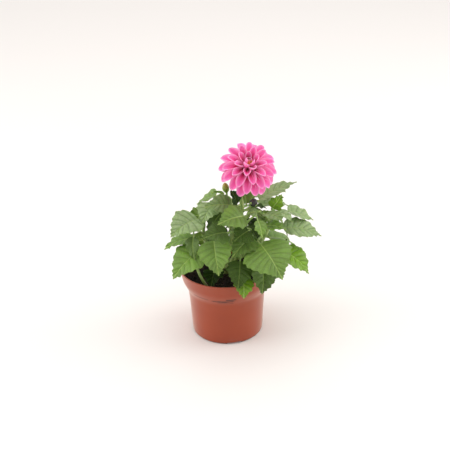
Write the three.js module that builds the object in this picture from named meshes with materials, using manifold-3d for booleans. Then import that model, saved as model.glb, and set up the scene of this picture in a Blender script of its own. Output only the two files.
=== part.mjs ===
// A dahlia in flower, growing in a terracotta-coloured plastic nursery pot.
// Millimetres, +Z up. The origin is the middle of the pot's underside, and the bloom looks towards -Y.
import * as THREE from 'three';
import { mergeVertices } from 'three/addons/utils/BufferGeometryUtils.js';
import Module from 'manifold-3d';

const wasm = await Module();
wasm.setup();

// Driving dimensions
const POT_HEIGHT = 92;
const POT_WALL = 1.3;
const POT_FLOOR = 4;
const POT_SIDES = 28;
const SOIL_TOP = 77;
const GAP = 0.3; // clear space between neighbours that touch in the real plant
const BLADE = 0.9; // thickness of a leaf blade, larger than life so that it is a sound solid
const PETAL = 0.85; // thickness of a petal, likewise
const SEAM = 0.03; // slivers thinner than this are cleared away where solids are joined
const GOLDEN_ANGLE = THREE.MathUtils.degToRad(137.508);
const UP = new THREE.Vector3(0, 0, 1);

const vector = (x, y, z) => new THREE.Vector3(x, y, z);
const radians = THREE.MathUtils.degToRad;
const mix = THREE.MathUtils.lerp;

// Solids

// A closed geometry as a solid that can be cut and joined.
function solid(geometry) {
  const bare = geometry.index ? geometry.toNonIndexed() : geometry.clone();
  bare.deleteAttribute('normal');
  bare.deleteAttribute('uv');
  const merged = mergeVertices(bare, 1e-3);
  return new wasm.Manifold(new wasm.Mesh({
    numProp: 3,
    vertProperties: merged.attributes.position.array,
    triVerts: new Uint32Array(merged.index.array),
  }));
}

// A solid back as a flat-shaded geometry.
function geometryOf(made) {
  const mesh = made.getMesh();
  const geometry = new THREE.BufferGeometry();
  geometry.setAttribute('position', new THREE.BufferAttribute(new Float32Array(mesh.vertProperties), 3));
  geometry.setIndex(new THREE.BufferAttribute(new Uint32Array(mesh.triVerts), 1));
  const flat = geometry.toNonIndexed();
  flat.computeVertexNormals();
  return flat;
}

const join = (solids) => solids.reduce((whole, next) => whole.add(next)).simplify(SEAM);

// The largest body of a solid, without the scraps that a cut leaves.
const largest = (made) =>
  made.decompose().reduce((big, next) => (next.volume() > big.volume() ? next : big));

// Points and triangles as a geometry.
function geometryFrom(points, faces) {
  const geometry = new THREE.BufferGeometry();
  geometry.setFromPoints(points);
  geometry.setIndex(faces.flat());
  return geometry;
}

// A turned solid about +Z. The profile lists [radius, height], from the axis underneath to the axis on top.
function turned(profile, sides) {
  const points = profile.map(([radius, height]) => new THREE.Vector2(radius, height));
  return new THREE.LatheGeometry(points, sides).rotateX(Math.PI / 2);
}

// A round tapering rod along a curve. radiusAt takes the share of the way along.
function rod(curve, radiusAt, steps, sides) {
  const frames = curve.computeFrenetFrames(steps, false);
  const points = [];
  const faces = [];
  for (let i = 0; i <= steps; i++) {
    const centre = curve.getPointAt(i / steps);
    for (let k = 0; k < sides; k++) {
      const angle = (2 * Math.PI * k) / sides;
      points.push(centre.clone()
        .addScaledVector(frames.normals[i], radiusAt(i / steps) * Math.cos(angle))
        .addScaledVector(frames.binormals[i], radiusAt(i / steps) * Math.sin(angle)));
    }
  }
  const first = points.push(curve.getPointAt(0)) - 1;
  const last = points.push(curve.getPointAt(1)) - 1;
  for (let k = 0; k < sides; k++) {
    const next = (k + 1) % sides;
    for (let i = 0; i < steps; i++) {
      const [a, b] = [i * sides + k, i * sides + next];
      faces.push([a, b, b + sides], [a, b + sides, a + sides]);
    }
    faces.push([first, next, k], [last, steps * sides + k, steps * sides + next]);
  }
  return solid(geometryFrom(points, faces));
}

// A thin blade between two skins, both split into triangles alike. at(row, column) gives the middle surface
// and its normal. The last row is one point, and so is the first where the base is pointed.
function blade(at, rows, columns, thickness, pointedBase) {
  const points = [];
  const faces = [];
  const number = [];
  const widths = rows.map((_, r) => (r === rows.length - 1 || (r === 0 && pointedBase) ? 1 : columns.length));
  for (const side of [1, -1]) {
    rows.forEach((row, r) => {
      for (let c = 0; c < widths[r]; c++) {
        const { point, normal } = at(row, widths[r] === 1 ? 0 : columns[c]);
        number.push(points.push(point.addScaledVector(normal, side * thickness / 2)) - 1);
      }
    });
  }
  const skin = number.length / 2;
  const starts = widths.map((_, r) => widths.slice(0, r).reduce((sum, width) => sum + width, 0));
  const id = (r, c) => starts[r] + (widths[r] === 1 ? 0 : c);
  const both = (a, b, c) => faces.push([a, b, c], [a + skin, c + skin, b + skin]);
  for (let r = 0; r + 1 < rows.length; r++) {
    for (let c = 0; c + 1 < columns.length; c++) {
      const [a, b, d, e] = [id(r, c), id(r, c + 1), id(r + 1, c), id(r + 1, c + 1)];
      const slant = c < (columns.length - 1) / 2;
      if (slant) {
        if (d !== e) both(a, e, d);
        if (a !== b) both(a, b, e);
      } else {
        if (a !== b) both(a, b, d);
        if (d !== e) both(b, e, d);
      }
    }
  }
  const edge = [];
  for (let c = 0; c < widths[0]; c++) edge.push(id(0, c));
  for (let r = 1; r + 1 < rows.length; r++) edge.push(id(r, columns.length - 1));
  edge.push(id(rows.length - 1, 0));
  for (let r = rows.length - 2; r > 0; r--) edge.push(id(r, 0));
  edge.forEach((a, i) => {
    const b = edge[(i + 1) % edge.length];
    faces.push([a, a + skin, b + skin], [a, b + skin, b]);
  });
  return solid(geometryFrom(points, faces));
}

// Leaves

// A side vein leaves the midrib and runs forward to the margin, where it ends in a tooth.
const VEIN_SWEEP = 0.22;
const marginShare = (s) => s + VEIN_SWEEP * Math.sin(Math.PI * s);
// Ovate outline, widest a third of the way from the stalk and drawn out to a point.
const OUTLINE = { lean: 0.6, base: 0.7, tip: 1.15 };
const ovate = (share) =>
  Math.sin(Math.PI * Math.min(1, share) ** OUTLINE.lean) ** mix(OUTLINE.base, OUTLINE.tip, share);
const TOOTH_PEAK = 0.7; // where in its length a tooth is tallest, so that it points forward
const TOOTH_NOTCH = 0.4; // share of a tooth that lies inside the outline

function toothHeight(s, teeth) {
  const phase = (s * teeth) % 1;
  const saw = phase < TOOTH_PEAK ? phase / TOOTH_PEAK : (1 - phase) / (1 - TOOTH_PEAK);
  return saw - TOOTH_NOTCH;
}

// The frame of a blade from its base and tip. The upper face looks up and outward from the plant's axis,
// and roll turns it about the midrib.
function bladeFrame({ base, tip, roll = 0 }) {
  const from = vector(...base);
  const to = vector(...tip);
  const along = to.clone().sub(from).normalize();
  const outward = from.clone().add(to).setZ(0).normalize();
  const normal = UP.clone().multiplyScalar(0.8).addScaledVector(outward, 0.6);
  normal.addScaledVector(along, -normal.dot(along)).normalize().applyAxisAngle(along, radians(roll));
  return { from, along, normal, across: along.clone().cross(normal), length: to.distanceTo(from) };
}

// arch: rise of the midrib as a share of its length. fold: degrees that each half is raised from the midrib.
// droop: how far the margins hang again. tooth: depth of a tooth in millimetres.
const USUAL_LEAF = { arch: 0.1, fold: 14, droop: 0.1, teeth: 6, tooth: 2.3 };
const WAVE = { height: 1, turns: 1.6, right: 0.1, left: 0.55 }; // the margin's rise and fall

// The middle surface of a leaf blade: s runs along the midrib, and t from -1 to 1 across it.
function leafSurface(leaf) {
  const frame = bladeFrame(leaf);
  const { width, arch, fold, droop, teeth, tooth } = { ...USUAL_LEAF, ...leaf };
  const half = width / 2;
  const rise = arch * frame.length;
  return (s, t) => {
    const margin = marginShare(s);
    const share = s + (margin - s) * Math.abs(t) ** 1.25;
    const fade = Math.max(0, Math.min(1, s * 8, (1 - s) * 4));
    const reach = half * ovate(margin) + tooth * toothHeight(s, teeth) * fade;
    const offset = t * reach;
    const slope = (rise * Math.PI * Math.cos(Math.PI * share)) / frame.length;
    const normal = frame.normal.clone().addScaledVector(frame.along, -slope).normalize();
    const wave = Math.sin(2 * Math.PI * (WAVE.turns * s + (t > 0 ? WAVE.right : WAVE.left)));
    const ripple = WAVE.height * Math.abs(t) ** 1.5 * wave * Math.sin(Math.PI * s);
    const height = Math.abs(offset) * Math.tan(radians(fold)) - (droop * offset ** 2) / half + ripple;
    const point = frame.from.clone()
      .addScaledVector(frame.along, frame.length * share)
      .addScaledVector(frame.normal, rise * Math.sin(Math.PI * share))
      .addScaledVector(frame.across, offset)
      .addScaledVector(normal, height);
    return { point, normal };
  };
}

// The rows of a leaf blade run out to the tooth tips and to the notches between them. The last tooth is the
// leaf's own tip.
function leafBlade(leaf) {
  const { teeth = USUAL_LEAF.teeth } = leaf;
  const rows = [0];
  for (let k = 0; k + 1 < teeth; k++) rows.push((k + TOOTH_PEAK) / teeth, (k + 1) / teeth);
  rows.push(1);
  return blade(leafSurface(leaf), rows, [-1, 0, 1], BLADE, true);
}

// The stalk of a leaf: out of its shoot, up and over into the midrib, and on under the blade.
const STALK = { root: 1.75, end: 0.95, steps: 3, sides: 4 };
const STALK_SINK = 0.1; // share of the blade that the stalk runs on under
const leafStalkCurve = (root, leaf) => {
  const surface = leafSurface(leaf);
  const base = vector(...leaf.base);
  const reach = base.distanceTo(root);
  const under = (share, depth) => {
    const { point, normal } = surface(share, 0);
    return point.addScaledVector(normal, -depth);
  };
  const start = under(0, 0.4);
  const end = under(STALK_SINK, 0.8);
  const run = end.clone().sub(start).normalize();
  const leave = base.clone().sub(root).normalize().addScaledVector(UP, leaf.lift ?? 0.5).normalize();
  return new THREE.CatmullRomCurve3([
    root,
    root.clone().addScaledVector(leave, reach * 0.45),
    start.clone().addScaledVector(run, -reach * 0.22),
    start,
    end,
  ], false, 'centripetal');
};
const leafStalk = (root, leaf) =>
  rod(leafStalkCurve(root, leaf), (s) => mix(STALK.root, STALK.end, s), STALK.steps, STALK.sides);

// Shoots

// The points that each shoot passes. main is the main stem up to the bloom, and all but basal grow from it.
const SHOOTS = {
  main: [[0, 0, 60], [0, 0, 84], [0, 0, 104], [7, -3, 130], [15, -6, 155], [21, -9, 178], [19, -8, 193],
    [21.5, -3, 203], [26.6, -1.2, 210.5], [27.8, -4.7, 216]],
  bud_left: [[20, -8, 172], [12, -4, 178], [4, 0, 185], [3, -1, 191.7]],
  bud_dark: [[18, -7, 166], [26, -14, 174], [31, -19, 180], [33, -22, 183.7]],
  bud_back: [[34, 22, 167], [35, 24, 175], [37, 27, 179.7]],
  front: [[0, 0, 86], [6, -14, 100], [13, -19, 122], [19, -22, 146], [26, -29, 166]],
  left: [[0, 0, 95], [-14, -3, 107], [-24, -4, 126], [-27, -4, 142], [-26, -3, 152]],
  right: [[0, 0, 94], [18, -3, 103], [37, -5, 117], [50, -6, 136], [56, -4, 156], [60, -2, 168]],
  back_left: [[0, 0, 101], [-6, 12, 116], [-11, 21, 136], [-13, 25, 156]],
  back_right: [[0, 0, 102], [11, 11, 116], [24, 19, 136], [32, 22, 156], [34, 22, 170]],
  back: [[0, 0, 87], [3, 15, 99], [7, 28, 116], [9, 35, 134], [10, 38, 146]],
  basal: [[-20, -35, 62], [-23, -38, 78], [-31, -37, 94], [-36, -32, 106], [-37, -28, 115]],
};
// The radius of each shoot at its root and at its end.
const SHOOT_RADII = {
  main: [4.3, 2.0],
  bud_left: [1.5, 1.2],
  bud_dark: [1.5, 1.2],
  bud_back: [1.8, 1.3],
  front: [2.9, 1.9],
  left: [2.9, 1.9],
  right: [3, 1.9],
  back_left: [2.8, 1.8],
  back_right: [2.8, 1.9],
  back: [2.7, 1.7],
  basal: [2.2, 1.5],
};
const shootCurve = (name) =>
  new THREE.CatmullRomCurve3(SHOOTS[name].map((place) => vector(...place)), false, 'centripetal');

function shootRod(name, extra = 0) {
  const [root, end] = SHOOT_RADII[name];
  const [steps, sides] = name === 'main' ? [12, 8] : [6, 6];
  return rod(shootCurve(name), (s) => mix(root, end, s) + extra, steps, sides);
}

// The point where a shoot passes a height.
function nodeAt(name, height) {
  const curve = shootCurve(name);
  let [low, high] = [0, 1];
  for (let i = 0; i < 30; i++) {
    const middle = (low + high) / 2;
    if (curve.getPointAt(middle).z < height) low = middle;
    else high = middle;
  }
  return curve.getPointAt(low);
}

// The leaves, each with its shoot and the height where it grows, its blade's base and tip, and its width.
const LEAVES = [
  { name: 'upper_left', on: ['left', 146], base: [-33, -9, 161], tip: [-66, -34, 149], width: 44,
    roll: -22, teeth: 7 },
  { name: 'grey_left', on: ['left', 149], base: [-14, -5, 178], tip: [-27, -24, 161.5], width: 30,
    roll: -14, lift: 0.8 },
  { name: 'top_left', on: ['back_left', 150], base: [-10, 18, 179], tip: [-33, 22, 165], width: 40,
    roll: -15 },
  { name: 'arching_top', on: ['main', 152], base: [9, -15, 181], tip: [-25, -21, 181], width: 27,
    teeth: 7 },
  { name: 'left_narrow', on: ['left', 128], base: [-39, -12, 136], tip: [-76, -18, 124], width: 28 },
  { name: 'left_drooping', on: ['left', 136], base: [-38.5, -30, 147], tip: [-37.5, -43, 122], width: 19,
    teeth: 5 },
  { name: 'low_far_left', on: ['basal', 110], base: [-30, -26, 127], tip: [-65, -50, 100], width: 44,
    roll: -12, teeth: 7 },
  { name: 'low_left', on: ['front', 118], base: [-14, -36, 144], tip: [-9, -64, 111], width: 40,
    teeth: 8 },
  { name: 'centre_left', on: ['front', 158], base: [23, -34, 175], tip: [-9, -54, 174], width: 32,
    teeth: 7 },
  { name: 'curled_left', on: ['front', 146], base: [2, -43, 158], tip: [-26, -55, 157], width: 31,
    lift: 0.2 },
  { name: 'low_centre', on: ['front', 108], base: [17, -45, 120], tip: [13, -67, 93], width: 30,
    teeth: 7 },
  { name: 'low_front', on: ['front', 94], base: [20, -50, 100], tip: [20, -70, 82], width: 24,
    lift: 0.1 },
  { name: 'low_right', on: ['front', 117], base: [44, -45, 112], tip: [42, -66, 85], width: 32,
    teeth: 7 },
  { name: 'middle', on: ['front', 132], base: [31, -27, 143], tip: [7, -56, 131], width: 31,
    roll: 4, lift: 0.1, teeth: 7 },
  { name: 'middle_dark', on: ['front', 150], base: [28, -37, 157], tip: [10, -47, 148], width: 28 },
  { name: 'large_right', on: ['right', 128], base: [42, -36, 138], tip: [66, -79, 112], width: 60,
    roll: 24, fold: 6, droop: 0.16, teeth: 10, tooth: 2.4 },
  { name: 'bright_right', on: ['right', 136], base: [70, -18, 119], tip: [102, -32, 92], width: 38,
    roll: 12, lift: 0, teeth: 7 },
  { name: 'long_right', on: ['right', 142], base: [72, -5, 143], tip: [121, 2, 126.5], width: 34,
    roll: 12, teeth: 8 },
  { name: 'upper_right', on: ['right', 154], base: [79, 14, 157.5], tip: [113, 24, 138.5], width: 29,
    roll: 8, arch: 0.05 },
  { name: 'top_right', on: ['back_right', 164], base: [43, 4, 178], tip: [91, 20, 194], width: 27,
    roll: -6, arch: 0.05, teeth: 7 },
  { name: 'centre_right', on: ['right', 148], base: [49, -24, 172], tip: [69, -38, 167], width: 27,
    teeth: 6 },
  { name: 'below_centre_right', on: ['right', 145], base: [48, -28, 158], tip: [73, -38, 157], width: 23,
    teeth: 5 },
  { name: 'beside_long', on: ['right', 160], base: [66, -2, 164], tip: [82, -10, 153], width: 25,
    teeth: 4 },
  { name: 'centre_drooping', on: ['front', 156], base: [39, -44, 173], tip: [43, -56, 156], width: 16,
    teeth: 5 },
  { name: 'small_grey', on: ['main', 170], base: [38, -28, 177], tip: [27, -30, 176], width: 13,
    lift: 0.1, teeth: 4, tooth: 1.3 },
  { name: 'bright_top', on: ['right', 164], base: [59, 4, 167], tip: [71, 8, 183], width: 18, teeth: 5 },
  { name: 'upright_small', on: ['right', 124], base: [76, -7, 127], tip: [74, -6, 141], width: 8,
    lift: 0, teeth: 3, tooth: 1 },
  { name: 'low_shaded', on: ['main', 82], base: [-13, -24, 98], tip: [-19, -46, 85], width: 26,
    lift: 0.2, teeth: 5 },
  { name: 'under_bloom', on: ['main', 174], base: [15, -17, 183], tip: [7, -22, 203], width: 24,
    teeth: 4 },
  { name: 'bright_left', on: ['bud_left', 179], base: [-1, 5, 186], tip: [-16, 2, 190], width: 18,
    teeth: 4 },
  { name: 'inner_left', on: ['main', 149], base: [-3, -1, 165], tip: [-20, -18, 142], width: 26,
    teeth: 5 },
  { name: 'inner_centre', on: ['main', 108], base: [1, -8, 147], tip: [-22, -16, 124], width: 27,
    teeth: 5 },
  { name: 'inner_right', on: ['main', 118], base: [26, -6, 156], tip: [42, -18, 146], width: 25,
    teeth: 4 },
  { name: 'inner_top', on: ['back_right', 150], base: [34, 12, 165], tip: [53, 12, 162], width: 16,
    teeth: 4 },
  { name: 'inner_upper_right', on: ['main', 148], base: [31, -6, 168], tip: [51, -12, 155], width: 24,
    teeth: 5 },
  { name: 'inner_low_right', on: ['back_right', 117], base: [27, 0, 145], tip: [40, -16, 128], width: 28,
    teeth: 5 },
  { name: 'behind_stem', on: ['main', 168], base: [27, 3, 174], tip: [23, 7, 192], width: 20,
    roll: 70, teeth: 4 },
  { name: 'back_1', on: ['back_left', 134], base: [-30, 28, 148], tip: [-62, 48, 124], width: 36,
    teeth: 5 },
  { name: 'back_2', on: ['back_left', 146], base: [-16, 42, 152], tip: [-26, 80, 136], width: 32,
    teeth: 4 },
  { name: 'back_3', on: ['back', 140], base: [12, 52, 146], tip: [22, 92, 122], width: 36, teeth: 4 },
  { name: 'back_4', on: ['back_right', 140], base: [40, 18, 146], tip: [68, 21, 139], width: 26,
    roll: -55, teeth: 5 },
  { name: 'back_5', on: ['back_right', 152], base: [44, 22, 162], tip: [84, 38, 152], width: 30,
    teeth: 4 },
  { name: 'back_6', on: ['left', 104], base: [-15, 13, 119], tip: [-46, 19, 112], width: 30,
    roll: 55, teeth: 4 },
  { name: 'back_7', on: ['back', 104], base: [-20, 42, 116], tip: [-42, 72, 84], width: 36, teeth: 4 },
  { name: 'back_8', on: ['back', 116], base: [14, 48, 118], tip: [18, 82, 88], width: 36, teeth: 4 },
  { name: 'back_9', on: ['back_right', 114], base: [42, 38, 118], tip: [66, 62, 88], width: 36,
    teeth: 5 },
  { name: 'back_10', on: ['right', 108], base: [56, 16, 120], tip: [90, 32, 98], width: 32, teeth: 4 },
  { name: 'back_11', on: ['back', 144], base: [-5, 27, 146], tip: [17, 24, 151], width: 19,
    roll: -55, teeth: 4 },
  { name: 'back_12', on: ['back_right', 168], base: [52, 32, 178], tip: [79, 45, 169], width: 29,
    teeth: 4 },
  { name: 'back_13', on: ['back_left', 146], base: [-22, 14, 154], tip: [-49, 18, 148], width: 27,
    roll: 55, teeth: 5 },
  { name: 'back_top', on: ['back_right', 160], base: [34, 36, 168], tip: [40, 64, 160], width: 26,
    teeth: 4 },
];

// Materials

const finish = (color, roughness) => new THREE.MeshStandardMaterial({ color, roughness, metalness: 0 });
const LEAF_GREEN = finish('#5f8540', 0.6);
const STEM_GREEN = finish('#7f9f4a', 0.55);
const TERRACOTTA = finish('#b5603f', 0.45);
const COMPOST = finish('#2a211a', 0.95);
const PETAL_PINK = finish('#ef6fae', 0.5);
const CALYX_GREEN = finish('#7d9a45', 0.55);
const BUD_GREEN = finish('#93a53c', 0.5);
const BUD_DARK = finish('#4a3f3c', 0.5);

const plant = new THREE.Group();
function place(name, made, material) {
  const mesh = new THREE.Mesh(geometryOf(made), material);
  mesh.name = name;
  plant.add(mesh);
}

// Pot

// The outer wall as [radius, height]: rounded foot, straight body, shoulder and flared rim.
const FOOT_RADIUS = 44.6;
const POT_OUTSIDE = [[FOOT_RADIUS, 0], [45.6, 1.5], [46.7, 22], [48.3, 50], [49.6, 61], [52.2, 66.5],
  [56.2, 75], [60, POT_HEIGHT]];
const POT_UNDERSIDE = [[0, 0], [26, 0], [27.5, 2.2], [37.5, 2.2], [39, 0]];
const POT_INSIDE = [[60, POT_HEIGHT], [56.2, 75], [49.6, 61], [48.3, 50], [45.2, POT_FLOOR]]
  .map(([radius, height]) => [radius - POT_WALL, height]);

const FOOT_SLOTS = 4; // low gaps under the foot ring, where water runs out
const FOOT_SLOT = { width: 19, height: 1.9, turn: 10 };
const DRAIN_HOLES = { count: 4, radius: 3.5, circle: 32.5, turn: 56 };

function pot() {
  const shell = solid(turned([...POT_UNDERSIDE, ...POT_OUTSIDE, ...POT_INSIDE, [0, POT_FLOOR]], POT_SIDES));
  const slots = Array.from({ length: FOOT_SLOTS }, (_, index) =>
    solid(new THREE.BoxGeometry(FOOT_SLOT.width, 16, 2 * FOOT_SLOT.height).translate(0, -FOOT_RADIUS, 0))
      .rotate([0, 0, FOOT_SLOT.turn + (360 / FOOT_SLOTS) * index]));
  const { radius } = DRAIN_HOLES;
  const drill = new THREE.CylinderGeometry(radius, radius, 20, 8).rotateX(Math.PI / 2);
  const holes = Array.from({ length: DRAIN_HOLES.count }, (_, index) =>
    solid(drill.clone().translate(0, -DRAIN_HOLES.circle, 0))
      .rotate([0, 0, DRAIN_HOLES.turn + (360 / DRAIN_HOLES.count) * index]));
  return shell.subtract(join([...slots, ...holes]));
}
place('pot', pot(), TERRACOTTA);

// Soil

const SOIL_CROWN = 1.5; // how far the middle stands above the edge
const SOIL_LUMPS = 0.9;
const SOIL_INSET = 0.35; // clear space between the soil and the pot's sloping wall

function soil() {
  const [mouth, shoulder, ...lower] = POT_INSIDE;
  const brim = mix(shoulder[0], mouth[0], (SOIL_TOP - shoulder[1]) / (mouth[1] - shoulder[1])) - SOIL_INSET;
  const side = [...lower.reverse(), shoulder]
    .map(([radius, height]) => [radius - SOIL_INSET, Math.max(height, POT_FLOOR + GAP)]);
  const top = [1, 0.75, 0.5, 0.25, 0].map((part) => [brim * part, SOIL_TOP]);
  const geometry = turned([[0, POT_FLOOR + GAP], ...side, ...top], POT_SIDES);
  const position = geometry.attributes.position;
  for (let i = 0; i < position.count; i++) {
    const [x, y, z] = [position.getX(i), position.getY(i), position.getZ(i)];
    const radius = Math.hypot(x, y);
    if (z < SOIL_TOP - 0.01 || radius > brim - 1) continue;
    const lumps = Math.sin(x * 0.31 + 1) * Math.cos(y * 0.27) + 0.6 * Math.sin(x * 0.13 - y * 0.19);
    position.setZ(i, z + SOIL_CROWN * (1 - (radius / brim) ** 2) + SOIL_LUMPS * lumps);
  }
  return solid(geometry);
}
const standing = ['main', 'basal'].map((name) => shootRod(name, GAP));
place('soil', soil().subtract(join(standing)), COMPOST);

// Stems

const grown = Object.keys(SHOOTS);
const stems = join(grown.filter((name) => name !== 'basal').map((name) => shootRod(name)));
const stemRoom = join(grown.map((name) => shootRod(name, GAP)));
place('stems', stems, STEM_GREEN);
place('basal_stem', shootRod('basal'), STEM_GREEN);

for (const leaf of LEAVES) {
  const [shoot, height] = leaf.on;
  const stalk = leafStalk(nodeAt(shoot, height), leaf).subtract(stemRoom);
  place('leaf_' + leaf.name, largest(join([leafBlade(leaf), largest(stalk)])), LEAF_GREEN);
}

// Bloom

const BLOOM_CENTRE = vector(29, -12, 227);
const BLOOM_AXIS = vector(0.09, -0.55, 0.83).normalize(); // the way the bloom looks
const BLOOM_SIDE = vector(1, 0, 0).cross(BLOOM_AXIS).normalize();
const BLOOM_ACROSS = BLOOM_AXIS.clone().cross(BLOOM_SIDE);
const PETALS = 52;
const PETAL_WIDEST = 0.62; // share of a petal's length where its tip starts to round off
const PETAL_TIP = 0.39; // share of the length over which it does
const HEART_PETALS = 24; // the small cupped ones in the middle
const HEART_ROWS = [0, 0.5, 0.9, 1];
const PETAL_ROWS = [0, 0.4, 0.78, 0.95, 1];
const WIDEST_ANGLE = radians(116); // the outermost petals point a little backward

// A direction from the bloom's centre: an angle from its axis, and a turn about it.
function bloomDirection(angle, turn) {
  return BLOOM_AXIS.clone().multiplyScalar(Math.cos(angle))
    .addScaledVector(BLOOM_SIDE, Math.sin(angle) * Math.cos(turn))
    .addScaledVector(BLOOM_ACROSS, Math.sin(angle) * Math.sin(turn));
}

// The petals stand in one spiral from the heart outward, longer and flatter the further out they are.
function petalSurface(index) {
  const out = (index + 0.5) / PETALS;
  const angle = Math.acos(1 - (1 - Math.cos(WIDEST_ANGLE)) * out);
  const turn = index * GOLDEN_ANGLE;
  const length = mix(15, 35.5, Math.sin(Math.min(angle, Math.PI / 2)) ** 1.1);
  const half = mix(3.2, 7.1, out ** 0.6);
  const bend = mix(-0.5, 0.32, Math.min(1, out * 2.2));
  return (s, t) => {
    const lean = angle + bend * (s - 0.6);
    const reach = mix(5, length, s);
    const rounding = s > PETAL_WIDEST ? Math.sqrt(Math.max(0, 1 - ((s - PETAL_WIDEST) / PETAL_TIP) ** 4)) : 1;
    const width = half * Math.min(1, 0.16 + 1.5 * s) * rounding;
    const along = bloomDirection(lean, turn);
    const sideways = bloomDirection(Math.PI / 2, turn - Math.PI / 2);
    const inward = bloomDirection(lean - Math.PI / 2, turn);
    const cup = mix(0.95, 0.5, s) * Math.abs(t) ** 2 * width;
    const point = BLOOM_CENTRE.clone()
      .addScaledVector(along, reach)
      .addScaledVector(sideways, t * width)
      .addScaledVector(inward, cup);
    return { point, normal: inward };
  };
}

const CORE_RADIUS = 7.6;
const core = (extra = 0) =>
  solid(new THREE.SphereGeometry(CORE_RADIUS + extra, 8, 5)).translate(BLOOM_CENTRE.toArray());

function bloom() {
  const petals = Array.from({ length: PETALS }, (_, index) =>
    blade(petalSurface(index), index < HEART_PETALS ? HEART_ROWS : PETAL_ROWS, [-1, 0, 1], PETAL, false));
  return join([core(), ...petals]);
}
place('bloom', bloom(), PETAL_PINK);

// Calyx: the green cup behind the petals, with its bracts bent back

const CALYX_CUP = [[0, -13], [2.6, -13], [4.8, -11], [7.2, -8.4], [8.6, -5.6], [0, -5.6]];
const BRACTS = 7;

function bractSurface(index) {
  const turn = (2 * Math.PI * index) / BRACTS;
  return (s, t) => {
    const lean = radians(mix(126, 138, s));
    const outward = bloomDirection(lean - Math.PI / 2, turn);
    const point = BLOOM_CENTRE.clone()
      .addScaledVector(bloomDirection(lean, turn), mix(7.5, 18, s))
      .addScaledVector(bloomDirection(Math.PI / 2, turn - Math.PI / 2), t * mix(2.4, 1.6, s))
      .addScaledVector(outward, -0.4 * Math.abs(t));
    return { point, normal: outward };
  };
}

function calyx() {
  const aim = new THREE.Quaternion().setFromUnitVectors(UP, BLOOM_AXIS);
  const cup = solid(turned(CALYX_CUP, 8).applyQuaternion(aim)).translate(BLOOM_CENTRE.toArray());
  const bracts = Array.from({ length: BRACTS }, (_, index) =>
    blade(bractSurface(index), [0, 1], [-1, 0, 1], BLADE, false));
  return join([cup, ...bracts]).subtract(core(GAP));
}
place('calyx', largest(calyx()), CALYX_GREEN);

// Buds

const BUDS = [
  { name: 'bud_left', base: [3, -1, 192], tip: [1, -2, 205], radius: 4.2, material: BUD_GREEN },
  { name: 'bud_dark', base: [33, -22, 184], tip: [37, -27, 192.5], radius: 5, material: BUD_DARK },
  { name: 'bud_back', base: [37, 27, 180.4], tip: [39, 31, 191], radius: 4.6, material: BUD_GREEN },
];
const BUD_PROFILE = [[0, 0], [0.42, 0], [0.85, 0.2], [1, 0.48], [0.66, 0.82], [0, 1]];
const SEPALS = 4;

// A closed bud: an egg of overlapping scales, shown as ribs, with narrow sepals spread round its base.
function bud({ base, tip, radius }) {
  const from = vector(...base);
  const axis = vector(...tip).sub(from);
  const length = axis.length();
  const geometry = turned(BUD_PROFILE.map(([across, along]) => [across * radius, along * length]), 8);
  const position = geometry.attributes.position;
  for (let i = 0; i < position.count; i++) {
    const rib = 1 + 0.08 * Math.cos(SEPALS * Math.atan2(position.getY(i), position.getX(i)));
    position.setXYZ(i, position.getX(i) * rib, position.getY(i) * rib, position.getZ(i));
  }
  const aim = new THREE.Quaternion().setFromUnitVectors(UP, axis.clone().normalize());
  const sepals = Array.from({ length: SEPALS }, (_, index) => {
    const turn = (2 * Math.PI * (index + 0.5)) / SEPALS;
    const outward = vector(Math.cos(turn), Math.sin(turn), 0);
    const across = outward.clone().cross(UP);
    return blade((s, t) => {
      const lean = mix(0.35, 0.9, s);
      const run = outward.clone().multiplyScalar(Math.cos(lean)).addScaledVector(UP, Math.sin(lean));
      const normal = UP.clone().multiplyScalar(Math.cos(lean)).addScaledVector(outward, -Math.sin(lean));
      const point = vector(0, 0, 1.2).addScaledVector(run, mix(0.6, 1.7, s) * radius);
      return { point: point.addScaledVector(across, t * mix(1.5, 1, s)), normal };
    }, [0, 0.6, 1], [-1, 1], BLADE, false);
  });
  const whole = join([solid(geometry), ...sepals]);
  return solid(geometryOf(whole).applyQuaternion(aim)).translate(base);
}
for (const shape of BUDS) place(shape.name, bud(shape), shape.material);

export default plant;
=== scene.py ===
# A dwarf dahlia in flower, growing in a terracotta-coloured plastic pot.
# Metres, +Z up. Sizes are written in millimetres, and MM turns them to metres.
import math
import random

import bpy
import numpy as np
from mathutils import Matrix, Vector


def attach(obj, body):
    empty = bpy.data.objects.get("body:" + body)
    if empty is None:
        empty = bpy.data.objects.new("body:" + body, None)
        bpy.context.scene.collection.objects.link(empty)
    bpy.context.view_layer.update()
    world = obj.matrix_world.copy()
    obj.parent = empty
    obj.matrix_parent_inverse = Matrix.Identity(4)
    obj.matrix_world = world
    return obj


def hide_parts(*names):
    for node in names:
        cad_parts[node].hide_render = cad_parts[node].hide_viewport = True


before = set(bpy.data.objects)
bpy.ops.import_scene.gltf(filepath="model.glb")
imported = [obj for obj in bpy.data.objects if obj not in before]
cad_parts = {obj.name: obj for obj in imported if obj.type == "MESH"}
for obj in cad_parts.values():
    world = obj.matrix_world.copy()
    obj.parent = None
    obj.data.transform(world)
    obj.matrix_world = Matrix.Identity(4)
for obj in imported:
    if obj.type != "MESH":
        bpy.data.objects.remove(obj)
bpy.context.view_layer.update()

# Camera
# It stands a metre off and looks down on the plant, turned slightly on its own axis. Its picture is
# square, and the plant keeps to the middle of it.
MM = 0.001
PICTURE_SIDE = 450
FOCAL_PIXELS = 804.5
AIM = Vector((0, 0, 147 * MM))
CAMERA_DISTANCE = 1.0
CAMERA_ELEVATION = math.radians(26.3)
CAMERA_ROLL = math.radians(-1.56)

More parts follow.
